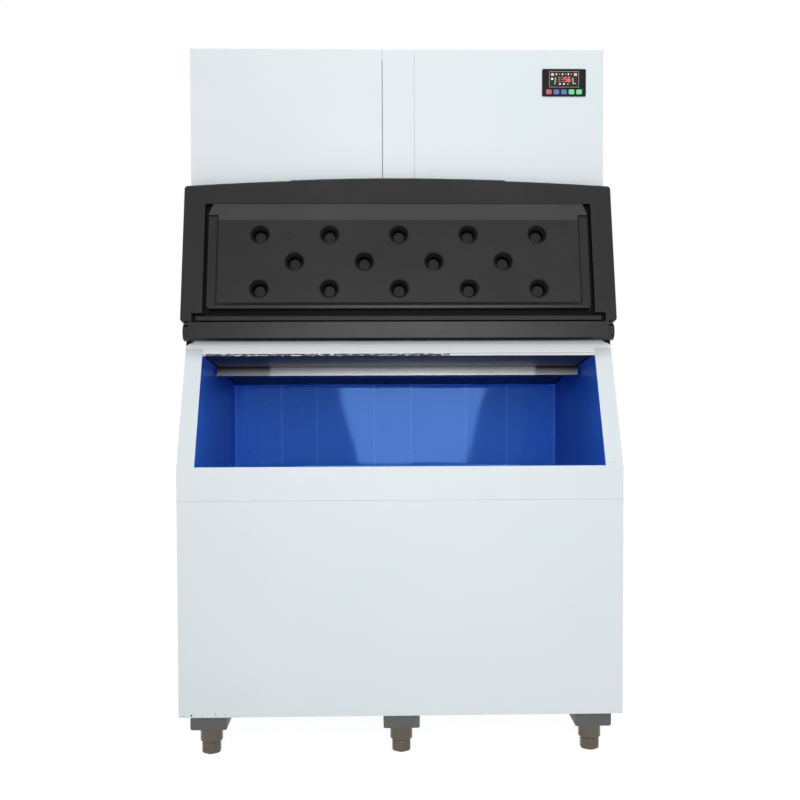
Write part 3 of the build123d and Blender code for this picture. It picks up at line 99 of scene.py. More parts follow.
# %% Shader maths and the material builder
class Wire:
    """An output socket on which Python arithmetic adds Math nodes."""

    def __init__(self, finish, socket):
        self.finish, self.socket = finish, socket

    def maths(self, operation, *others):
        """A Math node with this socket first."""
        return self.finish.node("ShaderNodeMath", {"operation": operation}, [self, *others])

    def __add__(self, other):
        return self.maths("ADD", other)

    def __sub__(self, other):
        return self.maths("SUBTRACT", other)

    def __rsub__(self, other):
        return self.finish.node("ShaderNodeMath", {"operation": "SUBTRACT"}, [other, self])

    def __mul__(self, other):
        return self.maths("MULTIPLY", other)

    def __truediv__(self, other):
        return self.maths("DIVIDE", other)

    def __pow__(self, other):
        return self.maths("POWER", other)

    def __abs__(self):
        return self.maths("ABSOLUTE")

    __radd__, __rmul__ = __add__, __mul__

    def held(self):
        """Itself, held between 0 and 1."""
        return self.maths("MINIMUM", 1.0).maths("MAXIMUM", 0.0)

    def above(self, edge, soft):
        """0 below an edge and 1 above it, with a ramp of width soft."""
        return ((self - edge) / soft + 0.5).held()

    def below(self, edge, soft):
        """1 below an edge and 0 above it, with a ramp of width soft."""
        return 1 - self.above(edge, soft)

    def between(self, low, high, soft):
        """1 from low to high and 0 outside, with ramps of width soft."""
        return self.above(low, soft) * self.below(high, soft)


class Finish:
    """One procedural material: a Principled shader and the nodes that feed it."""

    def __init__(self, name, **uniform):
        self.material = bpy.data.materials.new(name)
        self.material.use_nodes = True
        self.tree = self.material.node_tree
        self.shader = self.tree.nodes["Principled BSDF"]
        for socket, value in uniform.items():
            self.shader.inputs[socket.replace("_", " ")].default_value = value
        self.place = self.node("ShaderNodeTexCoord", output="Object")
        self.x = self.node("ShaderNodeSeparateXYZ", inputs=[self.place])
        self.y, self.z = [Wire(self, self.x.socket.node.outputs[axis]) for axis in "YZ"]

    def node(self, kind, settings=None, inputs=None, output=0):
        """Add a node: its settings first, then the values or wires of its sockets."""
        made = self.tree.nodes.new(kind)
        for setting, value in (settings or {}).items():
            setattr(made, setting, value)
        pairs = inputs.items() if isinstance(inputs, dict) else enumerate(inputs or [])
        for key, value in pairs:
            if isinstance(value, Wire):
                self.tree.links.new(value.socket, made.inputs[key])
            else:
                made.inputs[key].default_value = value
        return Wire(self, made.outputs[output])

    def stretched(self, scale):
        """The object coordinates multiplied by a scale along each axis."""
        return self.node("ShaderNodeMapping", inputs={"Vector": self.place, "Scale": scale})

    def noise(self, scale, detail=2.0, roughness=0.5, where=None):
        """A noise from 0 to 1, with this many features a metre."""
        inputs = {"Vector": where or self.place, "Scale": scale, "Detail": detail}
        return self.node("ShaderNodeTexNoise", inputs=inputs | {"Roughness": roughness})

    def cells(self, scale, output="Distance"):
        """Voronoi cells, with this many a metre."""
        inputs = {"Vector": self.place, "Scale": scale}
        return self.node("ShaderNodeTexVoronoi", inputs=inputs, output=output)

    def mixed(self, low, high, mask):
        """A colour that goes from low to high as the mask goes from 0 to 1."""
        factor, first, second, result = 0, 6, 7, 2
        inputs = {factor: mask, first: low, second: high}
        return self.node("ShaderNodeMix", {"data_type": "RGBA"}, inputs, output=result)

    def feed(self, **sockets):
        """Link wires into the shader's sockets, named with _ for a space."""
        for socket, wire in sockets.items():
            self.tree.links.new(wire.socket, self.shader.inputs[socket.replace("_", " ")])

    def relief(self, height, depth):
        """Bump the surface by a height wire, where 1 is this many metres."""
        inputs = {"Height": height, "Distance": depth, "Strength": 1.0}
        self.feed(Normal=self.node("ShaderNodeBump", inputs=inputs))


def colour(red, green, blue):
    """A colour as an RGBA tuple of linear values."""
    return (red, green, blue, 1.0)


def dress(finish, *names):
    """Give a finish to the material slots of CAD nodes."""
    for name in names:
        for slot in nodes[name].material_slots:
            slot.material = finish.material
    print(f"{finish.material.name}: {len(names)} nodes, {len(finish.tree.nodes)} shader nodes")


# %% [markdown]
# ## Film on the outer sheets
# The sheets are stainless steel that still wears its white protective film, which is why they look
# like satin paint with a blue cast and faint blotches. Broad noise shifts the colour a few percent,
# a slow bump stands for the oil-canning of thin sheet, and a fine one for the film itself. A noise's
# first number is how many features it has in a metre.

# %% Film finish
FILM_LOW, FILM_HIGH = colour(0.69, 0.765, 0.785), colour(0.745, 0.79, 0.83)
FILM_ROUGHNESS, FILM_SMEAR = 0.36, 0.12
BLOTCHES, SMEARS, OIL_CANNING, FILM_GRAIN = 2.3, 7.0, 3.5, 260.0
FILM_RELIEF, GRAIN_SHARE = 0.5 * MM, 0.02


def film(name):
    """White protective film on a flat sheet."""
    made = Finish(name)
    blotch = made.noise(BLOTCHES, 3.0, 0.6).above(0.5, 0.5)
    made.base = made.mixed(FILM_LOW, FILM_HIGH, blotch)
    smear = FILM_SMEAR * made.noise(SMEARS, 3.0)
    made.feed(Base_Color=made.base, Roughness=FILM_ROUGHNESS + smear)
    made.relief(made.noise(OIL_CANNING, 1.0) + GRAIN_SHARE * made.noise(FILM_GRAIN, 2.0), FILM_RELIEF)
    return made


sheet_film = film("sheet_film")
dress(
    sheet_film, "bin_left_side_panel", "bin_right_side_panel", "bin_top_panel",
    "head_front_left_panel", "head_centre_strip", "head_front_right_panel", "head_left_side_panel",
    "head_right_side_panel", "head_top_panel",
)

# %% [markdown]
# ## Torn film and specks
# Where the film was cut back, bare steel shows: along the left part of the lintel's lower lip the edge
# is ragged, and along the right part only a dark line of painted shade marks the crease. The lintel's
# colour is painted whiter than the rest: painted light for the shade that the lid casts on it.
# A few specks of dirt sit at the foot of the front panel, and a dark line parts each stile from the
# lintel. All of these are masks on the object's coordinates, and those on the slanted front are found
# with one more coordinate, the distance up the slope.

# %% Lintel
SLOPE = np.radians(25.0)
BREAK_Y, BREAK_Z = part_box("bin_front_surround")[0].y, 0.797
LIP_TOP, STILE_TOP, RAGGED_END = 0.3470, 0.3620, 0.144
RAG_GRAIN, RAG_REACH, LIP_HALF, CREASE_HALF = (60.0, 260.0, 260.0), 4 * MM, 1.5 * MM, 0.5 * MM
BARE_STEEL_AND_CREASE_SHADE, LINTEL_PAINTED_LIGHT, PAINTED_LIGHT_SHARE = colour(0.10, 0.11, 0.11), colour(0.93, 0.96, 0.97), 0.95


def up_slope(finish):
    """Distance up the slanted front from its break, as a wire."""
    return (finish.y - BREAK_Y) * float(np.sin(SLOPE)) + (finish.z - BREAK_Z) * float(np.cos(SLOPE))


lintel_film = film("lintel_film")
ragged = lintel_film.noise(1.0, 4.0, 0.7, where=lintel_film.stretched(RAG_GRAIN))
on_lip = (up_slope(lintel_film) + RAG_REACH * ragged).below(LIP_TOP + LIP_HALF, 0.4 * MM)
bare = on_lip * lintel_film.x.below(RAGGED_END, RAG_REACH) * ragged.below(0.56, 0.02)
# Painted shade: a dark line along the crease of the lip, in the same dark colour as the bare steel.
crease_shade = abs(up_slope(lintel_film) - LIP_TOP).below(CREASE_HALF, 0.3 * MM)
torn_film_and_crease_shade = bare.maths("MAXIMUM", crease_shade * lintel_film.x.above(RAGGED_END, RAG_REACH))
# Painted light: the lintel's base colour is mixed towards white to make up for the lid's shade on it.
lintel_painted_light = lintel_film.mixed(lintel_film.base, LINTEL_PAINTED_LIGHT, PAINTED_LIGHT_SHARE)
lintel_film.feed(Base_Color=lintel_film.mixed(lintel_painted_light, BARE_STEEL_AND_CREASE_SHADE, torn_film_and_crease_shade), Metallic=bare)
dress(lintel_film, "bin_lintel")

# %% Front panels
SPECKS = ((-0.596, 0.120, 1.3), (-0.575, 0.121, 2.6), (-0.543, 0.121, 1.0), (-0.509, 0.123, 1.3),
          (-0.509, 0.1275, 1.0), (-0.483, 0.1225, 1.1), (-0.464, 0.119, 1.0), (-0.448, 0.119, 0.9))
DIRT = colour(0.03, 0.035, 0.04)
WOBBLE, WOBBLES, SPECK_EDGE = 2.0 * MM, 380.0, 0.6 * MM
JOINT_WIDTH, JOINT_SHADE = 0.8 * MM, 0.6


def specked(finish, specks):
    """Mask of small dirt specks, each an (x, z, size in millimetres), with a wobbling edge."""
    wobble = WOBBLE * finish.noise(WOBBLES, 2.0)
    masks = []
    for x, z, size in specks:
        reach = ((finish.x - x) ** 2 + (finish.z - z) ** 2) ** 0.5
        masks.append((reach + wobble).below(size * MM + WOBBLE / 2, SPECK_EDGE))
    dirt = masks[0]
    for mask in masks[1:]:
        dirt = dirt.maths("MAXIMUM", mask)
    return dirt


front_film = film("front_film")
front_film.feed(Base_Color=front_film.mixed(front_film.base, DIRT, specked(front_film, SPECKS)))
dress(front_film, "bin_front_panel")

NICKS = ((-0.611, 0.804, 1.2), (0.583, 0.8085, 1.2), (0.628, 0.809, 1.0), (-0.400, 0.7115, 1.2))
surround_film = film("surround_film")
joint = JOINT_SHADE * up_slope(surround_film).above(STILE_TOP - JOINT_WIDTH, JOINT_WIDTH / 2)
marked = specked(surround_film, NICKS).maths("MAXIMUM", joint)
surround_film.feed(Base_Color=surround_film.mixed(surround_film.base, DIRT, marked))
dress(surround_film, "bin_front_surround")

# %% [markdown]
# ## Galvanised sheet
# The back, the base and the inner frame are hot-dip galvanised steel, whose zinc sets in large flat
# crystals. Voronoi cells have just that pattern: one random grey a cell, so the cell's value shifts
# both the colour and the roughness.

# %% Galvanised sheet
CRYSTALS, ZINC_DARK, ZINC_PALE = 70.0, colour(0.36, 0.38, 0.39), colour(0.58, 0.60, 0.61)
ZINC_GLOSS, ZINC_MATT, CRYSTAL_RISE, SHEET_WAVE = 0.34, 0.16, 0.03, 0.5 * MM
galvanised = Finish("galvanised_sheet", Metallic=0.85)
crystal = galvanised.cells(CRYSTALS, "Color") + 0.25 * galvanised.noise(30.0, 3.0)
galvanised.feed(
    Base_Color=galvanised.mixed(ZINC_DARK, ZINC_PALE, crystal),
    Roughness=ZINC_GLOSS + ZINC_MATT * crystal,
)
galvanised.relief(galvanised.noise(4.0, 1.0) + CRYSTAL_RISE * crystal, SHEET_WAVE)
dress(
    galvanised, "bin_back_panel", "bin_base_panel", "head_frame", "head_back_panel", "fan_shroud",
    "electrical_box",
)

# %% [markdown]
# ## The blue tub
# The liner is a glossy blue moulding. It reflects the softbox in front of the machine as a bright
# trapezoid, so its roughness is low. A moulded wall leans back by a few degrees of draft, more near
# the floor, and a height that is a quadratic in Z gives the light that lean. Folds in the back wall
# are pale bands of painted highlight at a list of places, and specks are Voronoi cells cut down to
# their middles. The side walls are duller, and the ceiling is matt, with its colour painted dark as
# painted shade, because the deflector keeps the light off it.

# %% Liner
DRAFT_TOP, DRAFT_FOOT = [float(np.radians(angle)) for angle in (3.3, 5.4)]
WALL_TOP, WALL_FOOT = 1.000, 0.727
DRAFT_GAIN = (DRAFT_FOOT - DRAFT_TOP) / (WALL_TOP - WALL_FOOT)
BACK_WALL, CEILING = 0.340, 1.003
FOLDS = (-0.5575, -0.3985, -0.2757, -0.0757, 0.0541, 0.2471, 0.3909, 0.5575)
FOLD_HALF, FOLD_RISE, WALL_WAVE, PEEL = 2.6 * MM, 0.02 * MM, 0.5 * MM, 0.008 * MM
SIDE_WALL, CEILING_HALF, EDGE = 0.545, 0.5585, 2 * MM
SPECK_CELLS, SPECK_SIZE, SPECKED_ABOVE = 75.0, 0.065, 0.54
GLOSS, SMEAR_MATT, SPECK_MATT, WALL_MATT, CEILING_MATT = 0.035, 0.03, 0.30, 0.35, 0.5
TUB_DEEP, TUB_BLUE = colour(0.024, 0.152, 0.76), colour(0.030, 0.180, 0.86)
FOLD_PAINTED_HIGHLIGHT = colour(0.075, 0.26, 0.95)
CEILING_PAINTED_SHADE, SPECK_TONE = colour(0.012, 0.022, 0.040), colour(0.55, 0.65, 0.85)
liner = Finish("blue_liner", Specular_Tint=colour(0.22, 0.46, 1.0), Specular_IOR_Level=0.64)
depth_shade = liner.noise(2.2, 2.0).above(0.5, 0.6)
folds = abs(liner.x - FOLDS[0])
for place in FOLDS[1:]:
    folds = folds.maths("MINIMUM", abs(liner.x - place))
folds = folds.below(FOLD_HALF, 2 * FOLD_HALF) * liner.y.above(BACK_WALL, EDGE)
in_patches = liner.noise(9.0, 2.0).above(SPECKED_ABOVE, 0.02)
specks = liner.cells(SPECK_CELLS).below(SPECK_SIZE, 0.02) * in_patches
side_walls = abs(liner.x).above(SIDE_WALL, EDGE)
under_roof = abs(liner.x).below(CEILING_HALF, EDGE / 2) * liner.y.below(BACK_WALL, 2 * EDGE)
ceiling = liner.z.above(CEILING, EDGE) * under_roof
blue = liner.mixed(TUB_DEEP, TUB_BLUE, depth_shade)
# Painted highlight: the folds are coloured paler for the light that their ridges catch.
blue = liner.mixed(blue, FOLD_PAINTED_HIGHLIGHT, folds)
# Painted shade: the ceiling is coloured near black for the light that the deflector keeps off it.
blue = liner.mixed(blue, CEILING_PAINTED_SHADE, ceiling)
smear = SMEAR_MATT * liner.noise(12.0, 3.0)
liner.feed(
    Base_Color=liner.mixed(blue, SPECK_TONE, specks),
    Roughness=GLOSS + smear + SPECK_MATT * specks + WALL_MATT * side_walls + CEILING_MATT * ceiling,
)
wave = WALL_WAVE * liner.noise(5.0, 1.0) + PEEL * liner.noise(160.0, 2.0) + FOLD_RISE * folds
lean = DRAFT_GAIN / 2 * liner.z ** 2 - (DRAFT_TOP + DRAFT_GAIN * WALL_TOP) * liner.z
liner.relief(wave + lean, 1.0)
dress(liner, "bin_liner")

# %% [markdown]
# ## Black and grey mouldings
# The lid is a large blown moulding in black plastic with a fine leathery grain. The pads under the
# bin are a dull grey plastic, and the parts of the ice maker are white or pale grey. They differ in
# colour and grain only, so one function makes them all. The sunk moat round the lid's raised panel
# is painted near black and metallic, so it hardly shines: painted shade for the shadow in the recess.
# The lid leans, and two axes that lean with it place the mask.


# %% Plastics
PLASTIC_DRIFT, SAG = 0.10, 3.0


def plastic(name, low, high, roughness, grain, depth, **uniform):
    """Moulded plastic: two near colours, a roughness that drifts, and grain of so many a metre."""
    made = Finish(name, **uniform)
    made.base = made.mixed(low, high, made.noise(6.0, 4.0, 0.6).above(0.5, 0.4))
    drift = made.noise(9.0, 3.0)
    made.feed(Base_Color=made.base, Roughness=roughness - PLASTIC_DRIFT / 2 + PLASTIC_DRIFT * drift)
    made.relief(made.noise(grain, 2.0, 0.6) + SAG * made.noise(4.0, 1.0), depth)
    return made


LEAN = np.radians(joints["lid_hinge"]["range_deg"][1] - 180.0) + SLOPE
HINGE = np.array(joints["lid_hinge"]["pos_m"])
LID_UP = np.array([0.0, np.sin(LEAN), np.cos(LEAN)])
LID_OUT = np.array([0.0, -np.cos(LEAN), np.sin(LEAN)])
MOAT_LOW, MOAT_HIGH, MOAT_FOOT, MOAT_HALF = 16 * MM, 25 * MM, 24 * MM, 0.590
MOAT_SHADE, MOAT_SHADE_TONE = 0.9, colour(0.004, 0.004, 0.004)


def along_lid(finish, direction):
    """Distance from the hinge along one of the lid's axes, as a wire."""
    return (finish.y - HINGE[1]) * float(direction[1]) + (finish.z - HINGE[2]) * float(direction[2])


lid_black = plastic(
    "lid_black", colour(0.012, 0.012, 0.0125), colour(0.017, 0.017, 0.0175), 0.31, 900.0, 0.06 * MM,
    Specular_IOR_Level=0.26,
)
between_sides = abs(lid_black.x).below(MOAT_HALF, EDGE)
above_foot = along_lid(lid_black, LID_UP).above(MOAT_FOOT, EDGE)
sunk = along_lid(lid_black, LID_OUT).between(MOAT_LOW, MOAT_HIGH, 2 * EDGE) * above_foot * between_sides
# Painted shade: the moat is coloured near black and made metallic, so it shows neither light nor
# reflection.
moat_painted_shade = MOAT_SHADE * sunk
lid_black.feed(Base_Color=lid_black.mixed(lid_black.base, MOAT_SHADE_TONE, moat_painted_shade), Metallic=moat_painted_shade)
dress(lid_black, "lid", "hinge_brackets")
pad_grey = plastic(
    "pad_grey", colour(0.080, 0.083, 0.081), colour(0.104, 0.106, 0.101), 0.5, 700.0, 0.08 * MM
)
dress(pad_grey, "leg_pads", "power_gland")
bezel_black = plastic(
    "bezel_black", colour(0.009, 0.010, 0.010), colour(0.013, 0.015, 0.015), 0.30, 1400.0, 0.03 * MM,
    Specular_IOR_Level=0.12,
)
BEZEL_MARKS = ((0.5492, 1.8933, 0.9), (0.5456, 1.9296, 0.7), (0.5390, 1.9170, 0.5))
MARK_TONE = colour(0.20, 0.20, 0.20)
marks = specked(bezel_black, BEZEL_MARKS)
bezel_black.feed(Base_Color=bezel_black.mixed(bezel_black.base, MARK_TONE, marks))
dress(bezel_black, "control_bezel")
pale_plastic = plastic(
    "pale_plastic", colour(0.66, 0.68, 0.67), colour(0.74, 0.75, 0.74), 0.35, 500.0, 0.05 * MM
)
dress(pale_plastic, "ice_chute", "curtain_left", "curtain_right", "water_trough", "bin_drain_fitting")
machine_grey = plastic(
    "machine_grey", colour(0.19, 0.20, 0.21), colour(0.24, 0.25, 0.26), 0.45, 800.0, 0.05 * MM
)
dress(machine_grey, "water_pump", "fan_blade")
machine_black = plastic(
    "machine_black", colour(0.012, 0.012, 0.013), colour(0.022, 0.022, 0.023), 0.30, 300.0, 0.10 * MM
)
dress(machine_black, "compressor", "fan_motor")
clear_hose = plastic(
    "hose_white", colour(0.58, 0.60, 0.60), colour(0.68, 0.69, 0.68), 0.22, 200.0, 0.10 * MM
)
dress(clear_hose, "water_lines", "water_tube")
foam = plastic("foam", colour(0.62, 0.55, 0.36), colour(0.74, 0.68, 0.50), 0.85, 260.0, 0.8 * MM)
dress(foam, "bin_insulation", "partition_wall")

# %% [markdown]
# ## Metals
# Brushed metal is a noise pulled out along the brushing. The stretch is a scale per axis, small along
# the grain and large across it. The deflector's colour holds a painted reflection of the softbox: it is
# bright in its middle and darkened at both ends. It is painted darker towards its upper edge as
# painted shadow from the lintel, and a thin dark line of painted shade marks where its lower edge is
# rolled. The feet and their sleeves are a warm dark steel, and the plates of the ice maker are tinned
# copper.


# %% Brushed metals
STREAK_SHARE, STAIN_SHARE, STREAK_MATT, STREAK_DEPTH = 0.6, 0.5, 0.14, 0.02 * MM


def brushed(name, low, high, roughness, grain):
    """Metal with a grain: noise of so many features a metre along X, Y and Z."""
    made = Finish(name, Metallic=1.0)
    streak = made.noise(1.0, 4.0, 0.6, where=made.stretched(grain))
    stain = made.noise(14.0, 3.0)
    made.base = made.mixed(low, high, STREAK_SHARE * streak + STAIN_SHARE * stain)
    made.feed(Base_Color=made.base, Roughness=roughness - 0.06 + STREAK_MATT * streak)
    made.relief(streak, STREAK_DEPTH)
    return made


bright_steel = brushed(
    "bright_steel", colour(0.30, 0.31, 0.32), colour(0.55, 0.55, 0.55), 0.30, (6.0, 900.0, 900.0)
)
dress(bright_steel, "evaporator_frame", "fan_guard")
DEFLECTOR_LOW, DEFLECTOR_HIGH = [corner.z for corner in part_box("ice_deflector")]
deflector_steel = brushed(
    "deflector_steel", colour(0.62, 0.61, 0.60), colour(0.82, 0.81, 0.80), 0.28, (6.0, 900.0, 900.0)
)
BRIGHT_LEFT, BRIGHT_RIGHT, BRIGHT_WANDER = -0.355, 0.452, 0.06
ROLL_LOW, ROLL_HIGH = 2.6 * MM, 3.8 * MM
END_FADE, TOP_SHADOW_SHARE, TOP_POWER, ROLL_SHADE_SHARE = 0.42, 0.62, 1.6, 0.35
# Painted light and shade: a painted reflection in the middle, painted shadow at the top, painted shade
# at the rolled edge.
wander = BRIGHT_WANDER * deflector_steel.noise(4.0, 2.0)
ends_out_of_reflection = 1 - (deflector_steel.x + wander).between(BRIGHT_LEFT, BRIGHT_RIGHT, 12 * MM)
rise = deflector_steel.z - DEFLECTOR_LOW
top_shadow = (rise / (DEFLECTOR_HIGH - DEFLECTOR_LOW)) ** TOP_POWER
rolled_edge = rise.between(ROLL_LOW, ROLL_HIGH, 0.6 * MM)
painted_light_and_shade = (END_FADE * ends_out_of_reflection + TOP_SHADOW_SHARE * top_shadow + ROLL_SHADE_SHARE * rolled_edge).held()
DEFLECTOR_SHADE_TONE = colour(0.020, 0.020, 0.019)
deflector_steel.feed(Base_Color=deflector_steel.mixed(deflector_steel.base, DEFLECTOR_SHADE_TONE, painted_light_and_shade))
dress(deflector_steel, "ice_deflector")
warm_steel = brushed(
    "warm_steel", colour(0.082, 0.070, 0.053), colour(0.155, 0.138, 0.110), 0.24, (700.0, 700.0, 14.0)
)
dress(warm_steel, "leg_sleeves")
tinned = brushed(
    "tinned_metal", colour(0.50, 0.51, 0.52), colour(0.72, 0.72, 0.72), 0.34, (90.0, 90.0, 900.0)
)
dress(tinned, "evaporator_left", "evaporator_right", "condenser")
copper = brushed(
    "copper", colour(0.55, 0.25, 0.13), colour(0.80, 0.42, 0.26), 0.28, (60.0, 60.0, 60.0)
)
dress(copper, "refrigerant_lines", "water_inlet_valve")

# %% [markdown]
# ## Surfaces from arrays
# Every new piece is a grid of points: rows along a profile, columns around or across it. One helper
# turns such grids into a mesh, with the quads found by index arithmetic on whole arrays. A closed
# grid joins its last column to its first, and a row drawn together to one point closes a pole when
# doubles are merged.


# %% Grids to meshes
def grid_faces(rows, columns, closed):
    """Quads (i, j), (i, j+1), (i+1, j+1), (i+1, j) of a grid, joined round if closed."""
    index = np.arange(rows * columns).reshape(rows, columns)
    beside = np.roll(index, -1, axis=1)
    quads = np.stack([index[:-1], beside[:-1], beside[1:], index[1:]], axis=-1)
    return (quads if closed else quads[:, :-1]).reshape(-1, 4)


def piece_from(name, grids, finish, body, closed=True, sharp=40.0):
    """A mesh piece from grids of points (rows, columns, 3), riding on a body."""
    corners, faces, start = [], [], 0
    for grid in grids:
        rows, columns = grid.shape[:2]
        corners.append(grid.reshape(-1, 3))
        faces.append(grid_faces(rows, columns, closed) + start)
        start += rows * columns
    mesh = bpy.data.meshes.new(name)
    mesh.from_pydata(np.concatenate(corners).tolist(), [], np.concatenate(faces).tolist())
    shell = bmesh.new()
    shell.from_mesh(mesh)
    bmesh.ops.remove_doubles(shell, verts=shell.verts, dist=1e-6)
    bmesh.ops.recalc_face_normals(shell, faces=shell.faces)
    shell.to_mesh(mesh)
    shell.free()
    mesh.shade_smooth()
    mesh.set_sharp_from_angle(angle=np.radians(sharp))
    mesh.materials.append(finish.material)
    piece = bpy.data.objects.new(name, mesh)
    bpy.context.scene.collection.objects.link(piece)
    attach(piece, body)
    print(f"{name}: {len(mesh.polygons)} faces on {body}")
    return piece


def middle(node):
    """The centre of a CAD node's box, as an array."""
    low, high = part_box(node)
    return (np.array(low) + np.array(high)) / 2


# %% [markdown]
# ## Screw feet
# Each foot is turned from hexagon bar: the corners are rounded off where the bar meets the lathe, the
# lower edge is chamfered, and a threaded stem runs up into the sleeve. The radius is a function of
# height and angle. On the bar it is the smaller of the turned radius and the hexagon's, and on the
# stem a triangle wave that climbs one pitch a turn makes the thread.

# %% Feet
FOOT_TOP, FLAT_HALF, TURNED, FOOT_COLUMNS = 33 * MM, 25.4 * MM, 27 * MM, 96
STEM, THREAD_PITCH, THREAD_DEPTH, THREAD_ROWS = 10 * MM, 2.5 * MM, 1.1 * MM, 150
# Height above the sole and depth turned off the radius, in mm
BAR_ROWS = ((0, 27), (0, 3.2), (0.4, 2.4), (1.2, 1.5), (2.2, 0.6), (3, 0), (10, 0), (20, 0), (30.5, 0),
            (32, 0.5), (32.8, 1.6), (33, 3.2))
FOOT_NODES = sorted(name for name in nodes if name.startswith("foot_"))


def foot_surface(node):
    """Height runs up the foot, angle round it: radius = min(turned, flat / cos(angle in its sixth))."""
    low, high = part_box(node)
    centre = middle(node)
    angle = np.linspace(0.0, 2 * np.pi, FOOT_COLUMNS, endpoint=False)[None, :]
    sixth = np.mod(angle + np.pi / 6, np.pi / 3) - np.pi / 6
    bar = np.minimum(TURNED, FLAT_HALF / np.cos(sixth))
    up_bar, cut = np.array(BAR_ROWS).T[..., None] * MM
    bar_radius = np.maximum(bar - cut, 0.0)
    up_stem = np.linspace(FOOT_TOP, high.z - low.z, THREAD_ROWS)[:, None]
    turn = np.mod(up_stem / THREAD_PITCH - angle / (2 * np.pi), 1.0)
    groove = np.abs(2 * turn - 1.0)
    stem_radius = STEM - THREAD_DEPTH * groove
    tip = np.zeros((1, 1))
    radius = np.concatenate([bar_radius, stem_radius, tip + np.zeros_like(angle)])
    height = np.concatenate([up_bar, up_stem, tip + up_stem[-1]]) + low.z
    x = centre[0] + radius * np.cos(angle)
    y = centre[1] + radius * np.sin(angle)
    return np.stack([x, y, height + np.zeros_like(radius)], axis=-1)


for node in FOOT_NODES:
    foot = piece_from("turned_" + node, [foot_surface(node)], warm_steel, node)
    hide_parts(node)

# %% [markdown]
# ## Control panel
# The five caps are soft pillows with a flange behind the bezel that keeps them in. Their outline is a
# superellipse, and the pillow is a flat dome: its height falls with the fourth power of the distance
# from the middle. Each cap rides on the body of its own button.


# %% Button caps
CAP_DROP, CAP_FLANGE, CAP_COLUMNS, OUTLINE_POWER, DOME_POWER = 1.2 * MM, 1.2 * MM, 64, 4.5, 4
CAP_RINGS = (0, 0.25, 0.5, 0.7, 0.84, 0.93, 0.98, 1.0)


def cap_surface(node):
    """Rows shrink a superellipse outline: dome, side, flange and back, from the front to the rear."""
    low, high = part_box(node)
    centre = middle(node)
    angle = np.linspace(0.0, 2 * np.pi, CAP_COLUMNS, endpoint=False)[None, :]
    bend = 2.0 / OUTLINE_POWER
    across = np.sign(np.cos(angle)) * np.abs(np.cos(angle)) ** bend
    upward = np.sign(np.sin(angle)) * np.abs(np.sin(angle)) ** bend
    part = np.array(CAP_RINGS)[:, None]
    shrink = np.concatenate([part, np.ones((4, 1)), np.zeros((1, 1))])
    lip = np.concatenate([0 * part, np.array([0, CAP_FLANGE, CAP_FLANGE, 0, 0])[:, None]])
    depth = high.y - low.y
    shelf = depth - CAP_FLANGE
    back = np.array([shelf, shelf, depth, depth, depth])[:, None]
    behind = np.concatenate([CAP_DROP * part ** DOME_POWER, back])
    half_x, half_z = (high.x - low.x) / 2 - CAP_FLANGE, (high.z - low.z) / 2 - CAP_FLANGE
    x = centre[0] + (shrink * half_x + lip) * across
    z = centre[2] + (shrink * half_z + lip) * upward
    return np.stack([x, low.y + behind + np.zeros_like(x), z], axis=-1)


CAP_TONES = {
    "red_button": (colour(0.50, 0.082, 0.11), colour(0.57, 0.11, 0.14)),
    "blue_button": (colour(0.075, 0.145, 0.42), colour(0.11, 0.19, 0.49)),
    "green_button": (colour(0.16, 0.66, 0.32), colour(0.21, 0.74, 0.39)),
}
BUTTONS = {
    "button_red": "red_button",
    "button_blue_inner": "blue_button", "button_blue_outer": "blue_button",
    "button_green_inner": "green_button", "button_green_outer": "green_button",
}
cap_finishes = {
    slot: plastic(slot + "_cap", low_tone, high_tone, 0.40, 1500.0, 0.03 * MM)
    for slot, (low_tone, high_tone) in CAP_TONES.items()
}
for node, slot in BUTTONS.items():
    cap = piece_from("cap_" + node, [cap_surface(node)], cap_finishes[slot], node)
    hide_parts(node)

# %% [markdown]
# ## The display
# The window is a dark lens with lit symbols behind it. The symbols are thin slabs just proud of the
# lens, in one piece for each colour, and their places are fractions of the window's width and height
# from its upper left corner. The digits are plain seven-segment ones. They glow a little, so their
# Emission Color has its own noise and the strength is one number.

# %% Lens and board
lens_dark = plastic(
    "lens_dark", colour(0.026, 0.022, 0.019), colour(0.036, 0.032, 0.028), 0.12, 60.0, 0.02 * MM,
    Specular_IOR_Level=0.2,
)
dress(lens_dark, "display_window")
board_green = plastic(
    "board_green", colour(0.012, 0.09, 0.035), colour(0.02, 0.14, 0.05), 0.4, 500.0, 0.05 * MM
)
dress(board_green, "control_board")

WINDOW_LOW, WINDOW_HIGH = [np.array(corner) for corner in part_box("display_window")]
GLYPH_DEPTH = 0.12 * MM


def slabs(rows):
    """Thin closed boxes (u, v, width, height, lean) on the window: eight corners each, in mm."""
    table = np.array(rows, dtype=float)
    u, v, width, height, lean = [table[:, column, None] for column in range(5)]
    side = np.array([-1.0, 1.0, 1.0, -1.0])[None, :]
    rise = np.array([-1.0, -1.0, 1.0, 1.0])[None, :]
    x = WINDOW_LOW[0] + u * (WINDOW_HIGH[0] - WINDOW_LOW[0])
    z = WINDOW_HIGH[2] - v * (WINDOW_HIGH[2] - WINDOW_LOW[2])
    x = x + (side * width / 2 + rise * lean / 2) * MM
    z = z + rise * height / 2 * MM
    front, rear = WINDOW_LOW[1] - GLYPH_DEPTH, WINDOW_LOW[1] + GLYPH_DEPTH
    ring = [np.stack([x, np.full_like(x, y), z], axis=-1) for y in (front, rear)]
    closing = [np.repeat(loop.mean(axis=1, keepdims=True), 4, axis=1) for loop in ring]
    stacked = np.stack([closing[0], ring[0], ring[1], closing[1]], axis=1)
    return list(stacked)


